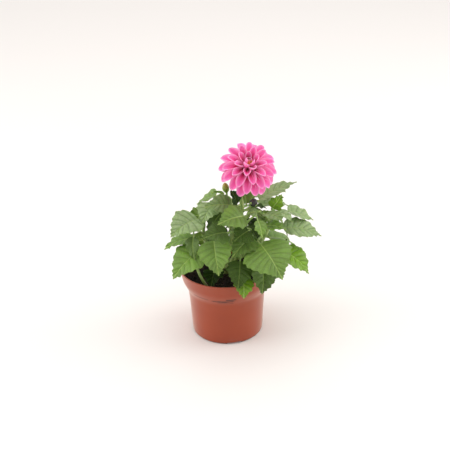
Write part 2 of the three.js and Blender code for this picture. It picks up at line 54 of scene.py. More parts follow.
lens = bpy.data.cameras.new("camera")
lens.sensor_width = 36
lens.lens = FOCAL_PIXELS / PICTURE_SIDE * lens.sensor_width
lens.clip_start = 0.05
lens.clip_end = 50
camera = bpy.data.objects.new("camera", lens)
backward = Vector((0, -math.cos(CAMERA_ELEVATION), math.sin(CAMERA_ELEVATION)))
camera.location = AIM + CAMERA_DISTANCE * backward
facing = (-backward).to_track_quat("-Z", "Y").to_matrix()
camera.rotation_euler = (facing @ Matrix.Rotation(CAMERA_ROLL, 3, "Z")).to_euler()
bpy.context.collection.objects.link(camera)
bpy.context.scene.camera = camera
bpy.context.scene.view_settings.view_transform = "Standard"

# Studio
# A white table in a bright tent that is a little dimmer behind the camera, with one broad soft light
# overhead and one at each side, so the pot's flanks shine and its front stays darker.


def linear(colour):
    """An sRGB hex colour as linear red, green, blue and a full alpha."""
    channels = [int(colour[i:i + 2], 16) / 255 for i in (1, 3, 5)]
    return [c / 12.92 if c <= 0.04045 else ((c + 0.055) / 1.055) ** 2.4 for c in channels] + [1.0]


def add(tree, kind, inputs=None, out=0, **settings):
    """Adds a node and returns one of its outputs. An input is a value or another node's output."""
    node = tree.nodes.new("ShaderNode" + kind)
    for name, value in settings.items():
        setattr(node, name, value)
    for name, value in (inputs or {}).items():
        if isinstance(value, bpy.types.NodeSocket):
            tree.links.new(value, node.inputs[name])
        else:
            node.inputs[name].default_value = value
    return node.outputs[out] if len(node.outputs) else node


def new_material(name):
    """An empty material and its node tree."""
    material = bpy.data.materials.new(name)
    material.use_nodes = True
    material.node_tree.nodes.clear()
    return material, material.node_tree


TENT_WHITE = "#fffdfb"
TENT_BACK, TENT_FRONT = 1.0, 0.74  # its brightness behind the plant and behind the camera
world = bpy.data.worlds.new("tent")
world.use_nodes = True
tree = world.node_tree
tree.nodes.clear()
front_to_back = add(tree, "SeparateXYZ", {0: add(tree, "TexCoord")}, out=1)
strength = add(tree, "MapRange", {"Value": front_to_back, "From Min": -0.9, "From Max": 0.1,
                                  "To Min": TENT_FRONT, "To Max": TENT_BACK})
tent = add(tree, "Background", {"Color": linear(TENT_WHITE), "Strength": strength})
add(tree, "OutputWorld", {"Surface": tent})
bpy.context.scene.world = world

# name, place in metres, side in metres, watts
SOFTBOXES = [
    ("softbox_above", (0.1, 0.5, 2.4), 2.4, 8.0),
    ("softbox_left", (-1.5, -0.2, 0.6), 1.0, 9.0),
    ("softbox_right", (1.5, 0.1, 0.6), 1.0, 9.5),
]
for name, place, side, watts in SOFTBOXES:
    light = bpy.data.lights.new(name, "AREA")
    light.shape = "SQUARE"
    light.size = side
    light.energy = watts
    softbox = bpy.data.objects.new(name, light)
    softbox.location = place
    softbox.rotation_euler = (AIM - Vector(place)).to_track_quat("-Z", "Y").to_euler()
    bpy.context.collection.objects.link(softbox)

TABLE_WHITE = "#f6f2ef"
TABLE_RADIUS = 9.0
TABLE_SIDES = 64
PAPER_SWELL = 20  # millimetres
# Matt white paper: even and dull, with swells so low that they hardly catch the light. Their pattern is
# stretched over the whole table, so its scale is the table's width in swells.
paper, tree = new_material("matt_white_paper")
swells = add(tree, "TexNoise", {"Scale": 2 * TABLE_RADIUS / (PAPER_SWELL * MM), "Detail": 3.0})
bump = add(tree, "Bump", {"Strength": 0.05, "Distance": 0.1 * MM, "Height": swells})
shader = add(tree, "BsdfPrincipled", {"Base Color": linear(TABLE_WHITE), "Roughness": 0.85, "Normal": bump})
add(tree, "OutputMaterial", {"Surface": shader})
turns = [2 * math.pi * k / TABLE_SIDES for k in range(TABLE_SIDES)]
round_table = [(TABLE_RADIUS * math.cos(turn), TABLE_RADIUS * math.sin(turn), 0) for turn in turns]
table_mesh = bpy.data.meshes.new("table")
table_mesh.from_pydata(round_table, [], [list(range(TABLE_SIDES))])
table_mesh.materials.append(paper)
table = bpy.data.objects.new("table", table_mesh)
bpy.context.collection.objects.link(table)

# Pot
# A thin-walled growing pot, injection moulded in terracotta-coloured polypropylene. Its flared rim
# carries a small rounded lip, and low slots under its foot let the water out.


class Shape:
    """The vertices and faces of one piece, gathered from its parts, with marks that its materials read."""

    def __init__(self):
        self.points, self.faces, self.slots, self.marks = [], [], [], {}

    def take(self, points, faces, slot=0, **marks):
        """Adds one part. Its slot is its material's place in the list, and its marks are by vertex."""
        start = sum(len(part) for part in self.points)
        self.points.append(np.asarray(points, float).reshape(-1, 3))
        self.faces += [[start + i for i in face] for face in faces]
        self.slots += [slot] * len(faces)
        for name, values in marks.items():
            self.marks.setdefault(name, []).append((start, np.asarray(values, float).reshape(-1, 3)))

    def piece(self, name, materials, crease=60):
        """Makes the object, in metres, smooth but for edges sharper than crease."""
        points = np.concatenate(self.points)
        mesh = bpy.data.meshes.new(name)
        mesh.from_pydata(points * MM, [], self.faces)
        for material in materials:
            mesh.materials.append(material)
        mesh.polygons.foreach_set("material_index", self.slots)
        mesh.polygons.foreach_set("use_smooth", [True] * len(self.faces))
        mesh.set_sharp_from_angle(angle=math.radians(crease))
        for mark, parts in self.marks.items():
            values = np.zeros((len(points), 3), np.float32)
            for start, part in parts:
                values[start:start + len(part)] = part
            mesh.attributes.new(mark, "FLOAT_VECTOR", "POINT").data.foreach_set("vector", values.ravel())
        mesh.validate()
        made = bpy.data.objects.new(name, mesh)
        bpy.context.collection.objects.link(made)
        return made


def rounded(profile, steps=4):
    """A profile of [radius, height, corner radius] with its corners rounded off."""
    line = []
    for i, (r, z, *corner) in enumerate(profile):
        here = np.array([r, z], float)
        if not corner or i in (0, len(profile) - 1):
            line.append(here)
            continue
        before = np.array(profile[i - 1][:2], float) - here
        after = np.array(profile[i + 1][:2], float) - here
        cut = min(corner[0], np.linalg.norm(before) / 2.01, np.linalg.norm(after) / 2.01)
        start, end = (here + side / np.linalg.norm(side) * cut for side in (before, after))
        for k in range(steps + 1):
            u = k / steps
            line.append((1 - u) ** 2 * start + 2 * u * (1 - u) * here + u ** 2 * end)
    return np.array(line)


def lathe(profile, sides):
    """Points and faces of a profile turned about the upright axis. Its two ends lie on the axis."""
    inner = profile[1:-1]
    angles = 2 * np.pi * np.arange(sides) / sides
    ring = np.stack([np.cos(angles), np.sin(angles)], 1)
    body = [[*(r * ring[k]), z] for r, z in inner for k in range(sides)]
    points = np.array(body + [[0, 0, profile[0][1]], [0, 0, profile[-1][1]]])
    faces = []
    for k in range(sides):
        n = (k + 1) % sides
        for i in range(len(inner) - 1):
            a, b = i * sides + k, i * sides + n
            faces.append([a, b, b + sides, a + sides])
        faces.append([len(body), n, k])
        last = (len(inner) - 1) * sides
        faces.append([last + k, last + n, len(body) + 1])
    return points, faces


POT_HEIGHT = 92
POT_RIM = 60  # its outer radius
POT_WALL = 1.3
POT_FLOOR = 4
INNER_SHOULDER = (54.9, 75)  # radius and height
INNER_SIDE = (43.9, POT_FLOOR + 0.2)
POT_SIDES = 160
FOOT_SLOTS = 4
FOOT_SLOT_WIDTH, FOOT_SLOT_HEIGHT = 19, 2.3
FOOT_SLOT_TURN = math.radians(10)
FOOT_RING = 38  # the ring that it stands on lies outside this radius
DRAIN_HOLES, DRAIN_RADIUS, DRAIN_CIRCLE = 4, 3.5, 32.5
DRAIN_TURN = math.radians(56)
DRILL_FROM, DRILL_TO = -5, 15  # the drill passes right through the pot's floor

pot_profile = rounded([
    [0, 0], [26, 0, 1], [27.5, 2.2, 1], [37.5, 2.2, 1], [39, 0, 0.8], [44.6, 0, 1], [45.6, 1.5, 1.5],
    [46.7, 22, 8], [48.3, 50, 8], [49.6, 61, 4], [52.2, 66.5, 5], [56.2, 75, 4],
    [59.3, 90.4, 0.3], [POT_RIM, 90.7, 0.3], [POT_RIM, POT_HEIGHT, 0.5],
    [POT_RIM - POT_WALL, POT_HEIGHT, 0.5], [57.6, 89, 3], [*INNER_SHOULDER, 5], [48.3, 61, 5], [47, 50, 6],
    [*INNER_SIDE, 2], [0, INNER_SIDE[1]]])
points, faces = lathe(pot_profile, POT_SIDES)
radius = np.hypot(points[:, 0], points[:, 1])
turn = np.arctan2(points[:, 1], points[:, 0]) + math.pi / 2 - FOOT_SLOT_TURN
half_share = math.pi / FOOT_SLOTS
from_slot = np.abs((turn + half_share) % (2 * half_share) - half_share) * radius
in_slot = (from_slot < FOOT_SLOT_WIDTH / 2) & (radius > FOOT_RING) & (points[:, 2] < FOOT_SLOT_HEIGHT)
points[in_slot, 2] = FOOT_SLOT_HEIGHT
pot_shape = Shape()
pot_shape.take(points, faces)

# The colour of the mass, its deeper and its worn shade, its dust, its scuffs and the painted contact shadow
# at its foot
TERRACOTTA, TERRACOTTA_DEEP, TERRACOTTA_PALE = "#9e3c10", "#8f330b", "#b9664a"
POT_DUST, SCUFF_DARK, FOOT_PAINTED_SHADOW = "#fff0e4", "#26100a", "#3c1408"
# Its cloudy shades, the swell of the thin wall, the grain of its skin, and the scratches of the rub
# along and across. The grain and the scratches are drawn coarser than life, so that they show.
CLOUD_SIZE, SWELL_SIZE, SKIN_GRAIN = 35.7, 18.2, 1.43
SCRATCH_LENGTH, SCRATCH_WIDTH = 16.7, 2.38
SHOULDER_HEIGHT, RUB_REACH = 67, 9
# How far up the foot the painted contact shadow reaches, in millimetres
PAINTED_SHADOW_HEIGHT = 3.2
# Short dark scuffs round the front of the shoulder: middle x, half length, height, half width, strength
SCUFFS = [(5.0, 7.0, 70.6, 1.2, 0.95), (-5.0, 15.0, 67.2, 1.4, 1.0), (-2.0, 11.0, 64.0, 0.8, 0.5),
          (-32.0, 10.0, 68.0, 1.3, 0.5)]
# Moulded polypropylene: an even satin with the faint unevenness of thin plastic, paler where stacking
# has rubbed the shoulder, with a pale bloom of dust at its flanks.
polypropylene, tree = new_material("moulded_terracotta_polypropylene")
place = add(tree, "TexCoord", out=3)
x = add(tree, "SeparateXYZ", {0: place})
y, z = x.node.outputs[1], x.node.outputs[2]
cloud = add(tree, "TexNoise", {"Vector": place, "Scale": 1 / (CLOUD_SIZE * MM), "Detail": 3.0,
                               "Roughness": 0.55})
colour = add(tree, "Mix", {0: cloud, 6: linear(TERRACOTTA_DEEP), 7: linear(TERRACOTTA)},
             out=2, data_type="RGBA")
along_scratch, across_scratch = 1 / (SCRATCH_LENGTH * MM), 1 / (SCRATCH_WIDTH * MM)
squashed = add(tree, "Mapping", {"Vector": place, "Scale": (along_scratch, along_scratch, across_scratch)})
rub = add(tree, "TexNoise", {"Vector": squashed, "Scale": 1.0, "Detail": 4.0, "Roughness": 0.65})
rub = add(tree, "MapRange", {"Value": rub, "From Min": 0.56, "From Max": 0.74})
from_shoulder = add(tree, "Math", {0: z, 1: SHOULDER_HEIGHT * MM}, operation="SUBTRACT")
from_shoulder = add(tree, "Math", {0: from_shoulder}, operation="ABSOLUTE")
on_shoulder = add(tree, "MapRange", {"Value": from_shoulder, "From Min": RUB_REACH * MM, "From Max": MM})
rubbed = add(tree, "Math", {0: rub, 1: on_shoulder}, operation="MULTIPLY")
rubbed = add(tree, "Math", {0: rubbed, 1: 0.18}, operation="MULTIPLY")
colour = add(tree, "Mix", {0: rubbed, 6: colour, 7: linear(TERRACOTTA_PALE)}, out=2, data_type="RGBA")
# Scuffs are broken up by scratches finer than the rub's, and lie only on the front.
wear = add(tree, "TexNoise", {"Vector": squashed, "Scale": 2.2, "Detail": 3.0})
wear = add(tree, "MapRange", {"Value": wear, "From Min": 0.3, "From Max": 0.44})
in_front = add(tree, "MapRange", {"Value": y, "From Min": 0.0, "From Max": -20 * MM})
wear = add(tree, "Math", {0: wear, 1: in_front}, operation="MULTIPLY")
scuffed = 0.0
for middle, half, height, thick, strength in SCUFFS:
    along = add(tree, "Math", {0: x, 1: middle * MM}, operation="SUBTRACT")
    along = add(tree, "Math", {0: along}, operation="ABSOLUTE")
    along = add(tree, "MapRange", {"Value": along, "From Min": half * MM, "From Max": 0.8 * half * MM})
    across = add(tree, "Math", {0: z, 1: height * MM}, operation="SUBTRACT")
    across = add(tree, "Math", {0: across}, operation="ABSOLUTE")
    across = add(tree, "MapRange", {"Value": across, "From Min": thick * MM, "From Max": 0.6 * thick * MM})
    mark = add(tree, "Math", {0: along, 1: across}, operation="MULTIPLY")
    mark = add(tree, "Math", {0: mark, 1: strength}, operation="MULTIPLY")
    scuffed = add(tree, "Math", {0: scuffed, 1: mark}, operation="MAXIMUM")
scuffed = add(tree, "Math", {0: scuffed, 1: wear}, operation="MULTIPLY")
colour = add(tree, "Mix", {0: scuffed, 6: colour, 7: linear(SCUFF_DARK)}, out=2, data_type="RGBA")
sheen = add(tree, "Math", {0: scuffed, 1: -0.75, 2: 0.8}, operation="MULTIPLY_ADD")
# Painted shadow: the foot is darkened where the pot stands on the table, and so are the edges of its slots.
painted_foot_shadow = add(tree, "MapRange", {"Value": z, "From Min": PAINTED_SHADOW_HEIGHT * MM,
                                 "From Max": PAINTED_SHADOW_HEIGHT / 4 * MM, "To Max": 0.75})
colour = add(tree, "Mix", {0: painted_foot_shadow, 6: colour, 7: linear(FOOT_PAINTED_SHADOW)}, out=2, data_type="RGBA")
gloss = add(tree, "MapRange", {"Value": cloud, "From Min": 0.3, "From Max": 0.7,
                               "To Min": 0.36, "To Max": 0.46})
gloss = add(tree, "Math", {0: gloss, 1: rubbed}, operation="ADD")
skin = add(tree, "TexNoise", {"Vector": place, "Scale": 1 / (SKIN_GRAIN * MM), "Detail": 2.0})
swell = add(tree, "TexNoise", {"Vector": place, "Scale": 1 / (SWELL_SIZE * MM), "Detail": 1.0})
relief = add(tree, "Math", {0: swell, 1: 6.0, 2: skin}, operation="MULTIPLY_ADD")
bump = add(tree, "Bump", {"Strength": 0.25, "Distance": 0.06 * MM, "Height": relief})
shader = add(tree, "BsdfPrincipled", {"Base Color": colour, "Roughness": gloss, "IOR": 1.5, "Normal": bump,
                                      "Sheen Weight": sheen, "Sheen Roughness": 0.35,
                                      "Sheen Tint": linear(POT_DUST)})
add(tree, "OutputMaterial", {"Surface": shader})

pot = pot_shape.piece("moulded_pot", [polypropylene], crease=40)
drill_shape = Shape()
for k in range(DRAIN_HOLES):
    angle = DRAIN_TURN - math.pi / 2 + 2 * math.pi * k / DRAIN_HOLES
    points, faces = lathe([[0, DRILL_FROM], [DRAIN_RADIUS, DRILL_FROM], [DRAIN_RADIUS, DRILL_TO],
                           [0, DRILL_TO]], 24)
    points += [DRAIN_CIRCLE * math.cos(angle), DRAIN_CIRCLE * math.sin(angle), 0]
    drill_shape.take(points, faces)
drill = drill_shape.piece("drill", [polypropylene])
cut = pot.modifiers.new("drain holes", "BOOLEAN")
cut.operation = "DIFFERENCE"
cut.solver = "EXACT"
cut.object = drill
drilled = bpy.data.meshes.new_from_object(pot.evaluated_get(bpy.context.evaluated_depsgraph_get()))
pot.modifiers.clear()
pot.data = drilled
bpy.data.objects.remove(drill)
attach(pot, "root")
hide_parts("pot")

# Soil
# Peat compost: fine black crumbs with brown fibres and a few larger crumbs on top, heaped a little
# round the stem.
SOIL_TOP = 77
SOIL_GAP = 0.3
SOIL_CROWN, SOIL_LUMPS = 1.5, 0.9
SOIL_RINGS, SOIL_SIDES = 64, 200
CRUMBS = 2600
FINE_CRUMB, LARGE_CRUMB = (0.35, 0.9), (0.9, 1.9)  # each kind's smallest and largest
FINE_SHARE = 0.9
FIBRES = 160
FIBRE_LENGTH, FIBRE_HALF_WIDTH = (2, 6), 0.13
wall_here = np.interp(SOIL_TOP, [INNER_SHOULDER[1], POT_HEIGHT], [INNER_SHOULDER[0], POT_RIM - POT_WALL])
soil_brim = wall_here - SOIL_GAP


def smooth_noise(x, y, seed):
    """A rolling height from -1 to 1, as a sum of waves in directions drawn by the seed."""
    draw = random.Random(seed)
    total = np.zeros_like(x)
    for _ in range(9):
        turn = draw.uniform(0, 2 * math.pi)
        total += np.sin(x * math.cos(turn) + y * math.sin(turn) + draw.uniform(0, 2 * math.pi))
    return total / 4.5


def soil_height(x, y):
    """The crumbled surface of the compost."""
    radius = np.hypot(x, y)
    lumps = np.sin(x * 0.31 + 1) * np.cos(y * 0.27) + 0.6 * np.sin(x * 0.13 - y * 0.19)
    inward = np.clip((soil_brim - radius) / 2, 0, 1)
    crumble = 0.5 * smooth_noise(x * 1.1, y * 1.1, 3) + 0.3 * smooth_noise(x * 2.6, y * 2.6, 4)
    return SOIL_TOP + inward * (SOIL_CROWN * (1 - (radius / soil_brim) ** 2) + SOIL_LUMPS * lumps + crumble)


soil_side = [[0, POT_FLOOR + 0.5], [43.5, POT_FLOOR + 0.5], [46.6, 50], [47.9, 61], [54.5, 75]]
soil_top = [[soil_brim * (1 - k / SOIL_RINGS), SOIL_TOP] for k in range(SOIL_RINGS + 1)]
points, faces = lathe(np.array(soil_side + soil_top), SOIL_SIDES)
on_top = points[:, 2] > SOIL_TOP - 0.01
points[on_top, 2] = soil_height(points[on_top, 0], points[on_top, 1])
soil_shape = Shape()
soil_shape.take(points, faces)

CRUMB_CORNERS = [[1, 0, 0], [-1, 0, 0], [0, 1, 0], [0, -1, 0], [0, 0, 1], [0, 0, -1]]
CRUMB_FACES = [[0, 2, 4], [2, 1, 4], [1, 3, 4], [3, 0, 4], [2, 0, 5], [1, 2, 5], [3, 1, 5], [0, 3, 5]]
draw = random.Random(11)
for _ in range(CRUMBS):
    radius = (soil_brim - 1.5) * math.sqrt(draw.random())
    turn = draw.uniform(0, 2 * math.pi)
    middle = np.array([radius * math.cos(turn), radius * math.sin(turn)])
    size = draw.uniform(*(FINE_CRUMB if draw.random() < FINE_SHARE else LARGE_CRUMB))
    corners = CRUMB_CORNERS * (size * np.array([[draw.uniform(0.6, 1.25)] for _ in CRUMB_CORNERS]))
    spin = Matrix.Rotation(draw.uniform(0, 3), 3, "Z") @ Matrix.Rotation(draw.uniform(0, 3), 3, "X")
    corners = corners @ np.array(spin).T
    height = float(soil_height(middle[:1], middle[1:])[0]) + 0.2 * size
    soil_shape.take(corners + [*middle, height], CRUMB_FACES, slot=1)
for _ in range(FIBRES):
    radius = (soil_brim - 4) * math.sqrt(draw.random())
    turn, lie = draw.uniform(0, 2 * math.pi), draw.uniform(0, 2 * math.pi)
    middle = np.array([radius * math.cos(turn), radius * math.sin(turn)])
    length = draw.uniform(*FIBRE_LENGTH)
    run = np.array([math.cos(lie), math.sin(lie)]) * length / 2
    side = np.array([-math.sin(lie), math.cos(lie), 0]) * FIBRE_HALF_WIDTH
    line = []
    for k in range(4):
        at = middle + run * (2 * k / 3 - 1) + side[:2] * 4 * math.sin(k * 1.3 + lie)
        line.append([*at, float(soil_height(at[:1], at[1:])[0]) + 0.45 + 0.3 * math.sin(k + lie)])
    line = np.array(line)
    rim = np.concatenate([line + side, line - [0, 0, 0.2], line - side])
    strip = []
    for k in range(3):
        for a, b in ((0, 4), (4, 8), (8, 0)):
            strip.append([a + k + 1, a + k, b + k, b + k + 1])
    strip += [[0, 8, 4], [3, 7, 11]]
    soil_shape.take(rim, strip, slot=2)

PEAT_BLACK, PEAT_BROWN = "#120d09", "#33251a"
CRUMB_BROWN, FIBRE_BROWN = "#3b2a1d", "#7d6042"
PEAT_GRAIN, PEAT_PATCH = 2.38, 14.3  # the grain is drawn coarser than life, so that it shows
peats = []
for name, dark, light, roughness in (("peat_compost", PEAT_BLACK, PEAT_BROWN, 0.85),
                                     ("peat_crumbs", PEAT_BLACK, CRUMB_BROWN, 0.8),
                                     ("peat_fibres", PEAT_BROWN, FIBRE_BROWN, 0.75)):
    # Damp peat drinks the light: near black, browner on dry crumbs, rough all over.
    peat, tree = new_material(name)
    place = add(tree, "TexCoord", out=3)
    grains = add(tree, "TexNoise", {"Vector": place, "Scale": 1 / (PEAT_GRAIN * MM), "Detail": 5.0,
                                    "Roughness": 0.7})
    patches = add(tree, "TexNoise", {"Vector": place, "Scale": 1 / (PEAT_PATCH * MM), "Detail": 2.0})
    blend = add(tree, "Math", {0: grains, 1: patches}, operation="MULTIPLY")
    blend = add(tree, "MapRange", {"Value": blend, "From Min": 0.16, "From Max": 0.36})
    colour = add(tree, "Mix", {0: blend, 6: linear(dark), 7: linear(light)}, out=2, data_type="RGBA")
    bump = add(tree, "Bump", {"Strength": 0.8, "Distance": 0.5 * MM, "Height": grains})
    shader = add(tree, "BsdfPrincipled", {"Base Color": colour, "Roughness": roughness, "Normal": bump,
                                          "Specular IOR Level": 0.3})
    add(tree, "OutputMaterial", {"Surface": shader})
    peats.append(peat)

soil = soil_shape.piece("compost", peats, crease=180)
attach(soil, "root")
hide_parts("soil")

# Stems
# The main stem rises from the compost and bends over into the bloom. Side shoots leave it low down,
# and one shoot comes up by itself. All are round, smooth and sappy, a little swollen where leaves join.
# The places that each shoot passes:
SHOOTS = {
    "main": [[0, 0, 60], [0, 0, 84], [0, 0, 104], [7, -3, 130], [15, -6, 155], [21, -9, 178], [19, -8, 193],
             [21.5, -3, 203], [26.6, -1.2, 210.5], [27.8, -4.7, 216]],
    "bud_left": [[20, -8, 172], [12, -4, 178], [4, 0, 185], [3, -1, 191.7]],
    "bud_dark": [[18, -7, 166], [26, -14, 174], [31, -19, 180], [33, -22, 183.7]],
    "bud_back": [[34, 22, 167], [35, 24, 175], [37, 27, 179.7]],
    "front": [[0, 0, 86], [6, -14, 100], [13, -19, 122], [19, -22, 146], [26, -29, 166]],
    "left": [[0, 0, 95], [-14, -3, 107], [-24, -4, 126], [-27, -4, 142], [-26, -3, 152]],
    "right": [[0, 0, 94], [18, -3, 103], [37, -5, 117], [50, -6, 136], [56, -4, 156], [60, -2, 168]],
    "back_left": [[0, 0, 101], [-6, 12, 116], [-11, 21, 136], [-13, 25, 156]],
    "back_right": [[0, 0, 102], [11, 11, 116], [24, 19, 136], [32, 22, 156], [34, 22, 170]],
    "back": [[0, 0, 87], [3, 15, 99], [7, 28, 116], [9, 35, 134], [10, 38, 146]],
    "basal": [[-20, -35, 62], [-23, -38, 78], [-31, -37, 94], [-36, -32, 106], [-37, -28, 115]],
}
# Their radii at the root and at the tip
SHOOT_RADII = {
    "main": (4.3, 2.0), "bud_left": (1.5, 1.2), "bud_dark": (1.5, 1.2), "bud_back": (1.8, 1.3),
    "front": (2.9, 1.9), "left": (2.9, 1.9), "right": (3.0, 1.9), "back_left": (2.8, 1.8),
    "back_right": (2.8, 1.9), "back": (2.7, 1.7), "basal": (2.2, 1.5),
}


def smooth_line(places, count):
    """Points evenly along a centripetal Catmull-Rom curve through the places."""
    knots = [np.array(place, float) for place in places]
    knots = [2 * knots[0] - knots[1], *knots, 2 * knots[-1] - knots[-2]]
    fine = []
    for p0, p1, p2, p3 in zip(knots, knots[1:], knots[2:], knots[3:]):
        d0, d1, d2 = (max(np.linalg.norm(b - a), 1e-6) ** 0.5 for a, b in ((p0, p1), (p1, p2), (p2, p3)))
        leave = ((p1 - p0) / d0 - (p2 - p0) / (d0 + d1) + (p2 - p1) / d1) * d1
        arrive = ((p2 - p1) / d1 - (p3 - p1) / (d1 + d2) + (p3 - p2) / d2) * d1
        for u in np.arange(40) / 40:
            fine.append(p1 + leave * u + (3 * (p2 - p1) - 2 * leave - arrive) * u ** 2
                        + (2 * (p1 - p2) + leave + arrive) * u ** 3)
    fine = np.array([*fine, knots[-2]])
    run = np.concatenate([[0], np.cumsum(np.linalg.norm(np.diff(fine, axis=0), axis=1))])
    at = np.linspace(0, run[-1], count)
    return np.stack([np.interp(at, run, fine[:, k]) for k in range(3)], 1)


def unit(vectors):
    """Vectors of length one in the same directions."""
    return vectors / np.linalg.norm(vectors, axis=-1, keepdims=True)


def tube(line, radii, sides):
    """Points and faces of a round rod along a line, closed at both ends by a low dome."""
    along = unit(np.gradient(line, axis=0))
    side = unit(np.cross(along[0], [0.3, 0.2, 0.9] if abs(along[0][2]) < 0.9 else [1, 0, 0]))
    rings = []
    for here, way, radius in zip(line, along, radii):
        side = unit(side - way * (side @ way))
        other = np.cross(way, side)
        angles = 2 * np.pi * np.arange(sides) / sides
        rings.append(here + radius * (np.outer(np.cos(angles), side) + np.outer(np.sin(angles), other)))
    first, last = line[0] - along[0] * radii[0] * 0.4, line[-1] + along[-1] * radii[-1] * 0.4
    points = np.concatenate([*rings, [first], [last]])
    total, end = len(line) * sides, (len(line) - 1) * sides
    faces = []
    for k in range(sides):
        n = (k + 1) % sides
        faces += [[i * sides + k, i * sides + n, (i + 1) * sides + n, (i + 1) * sides + k]
                  for i in range(len(line) - 1)]
        faces += [[total, n, k], [total + 1, end + k, end + n]]
    return points, faces


STEM_PALE, STEM_GREEN, STEM_FLUSH = "#a9bf72", "#6f9440", "#7c5a4a"
STEM_RIB_WIDTH, STEM_RIB_LENGTH = 2.38, 22.2  # drawn coarser than life, so that they show
FLUSH_HEIGHTS = (75, 105)  # the flush is full below the first and gone above the second
# A smooth green stem, paler and shiny along its ribs, flushed brown low down where it has met the sun.
stem_skin, tree = new_material("sappy_green_stem")
place = add(tree, "TexCoord", out=3)
height = add(tree, "SeparateXYZ", {0: place}, out=2)
across_rib, along_rib = 1 / (STEM_RIB_WIDTH * MM), 1 / (STEM_RIB_LENGTH * MM)
stretched = add(tree, "Mapping", {"Vector": place, "Scale": (across_rib, across_rib, along_rib)})
streaks = add(tree, "TexNoise", {"Vector": stretched, "Scale": 1.0, "Detail": 2.0})
streaks = add(tree, "MapRange", {"Value": streaks, "From Min": 0.35, "From Max": 0.65})
colour = add(tree, "Mix", {0: streaks, 6: linear(STEM_GREEN), 7: linear(STEM_PALE)},
             out=2, data_type="RGBA")
low = add(tree, "MapRange", {"Value": height, "From Min": FLUSH_HEIGHTS[1] * MM,
                             "From Max": FLUSH_HEIGHTS[0] * MM, "To Max": 0.45})
colour = add(tree, "Mix", {0: low, 6: colour, 7: linear(STEM_FLUSH)}, out=2, data_type="RGBA")
bump = add(tree, "Bump", {"Strength": 0.3, "Distance": 0.12 * MM, "Height": streaks})
shader = add(tree, "BsdfPrincipled", {"Base Color": colour, "Roughness": 0.42, "Normal": bump,
                                      "Subsurface Weight": 0.15, "Subsurface Radius": (0.4, 0.9, 0.2),
                                      "Subsurface Scale": 1.5 * MM})
add(tree, "OutputMaterial", {"Surface": shader})

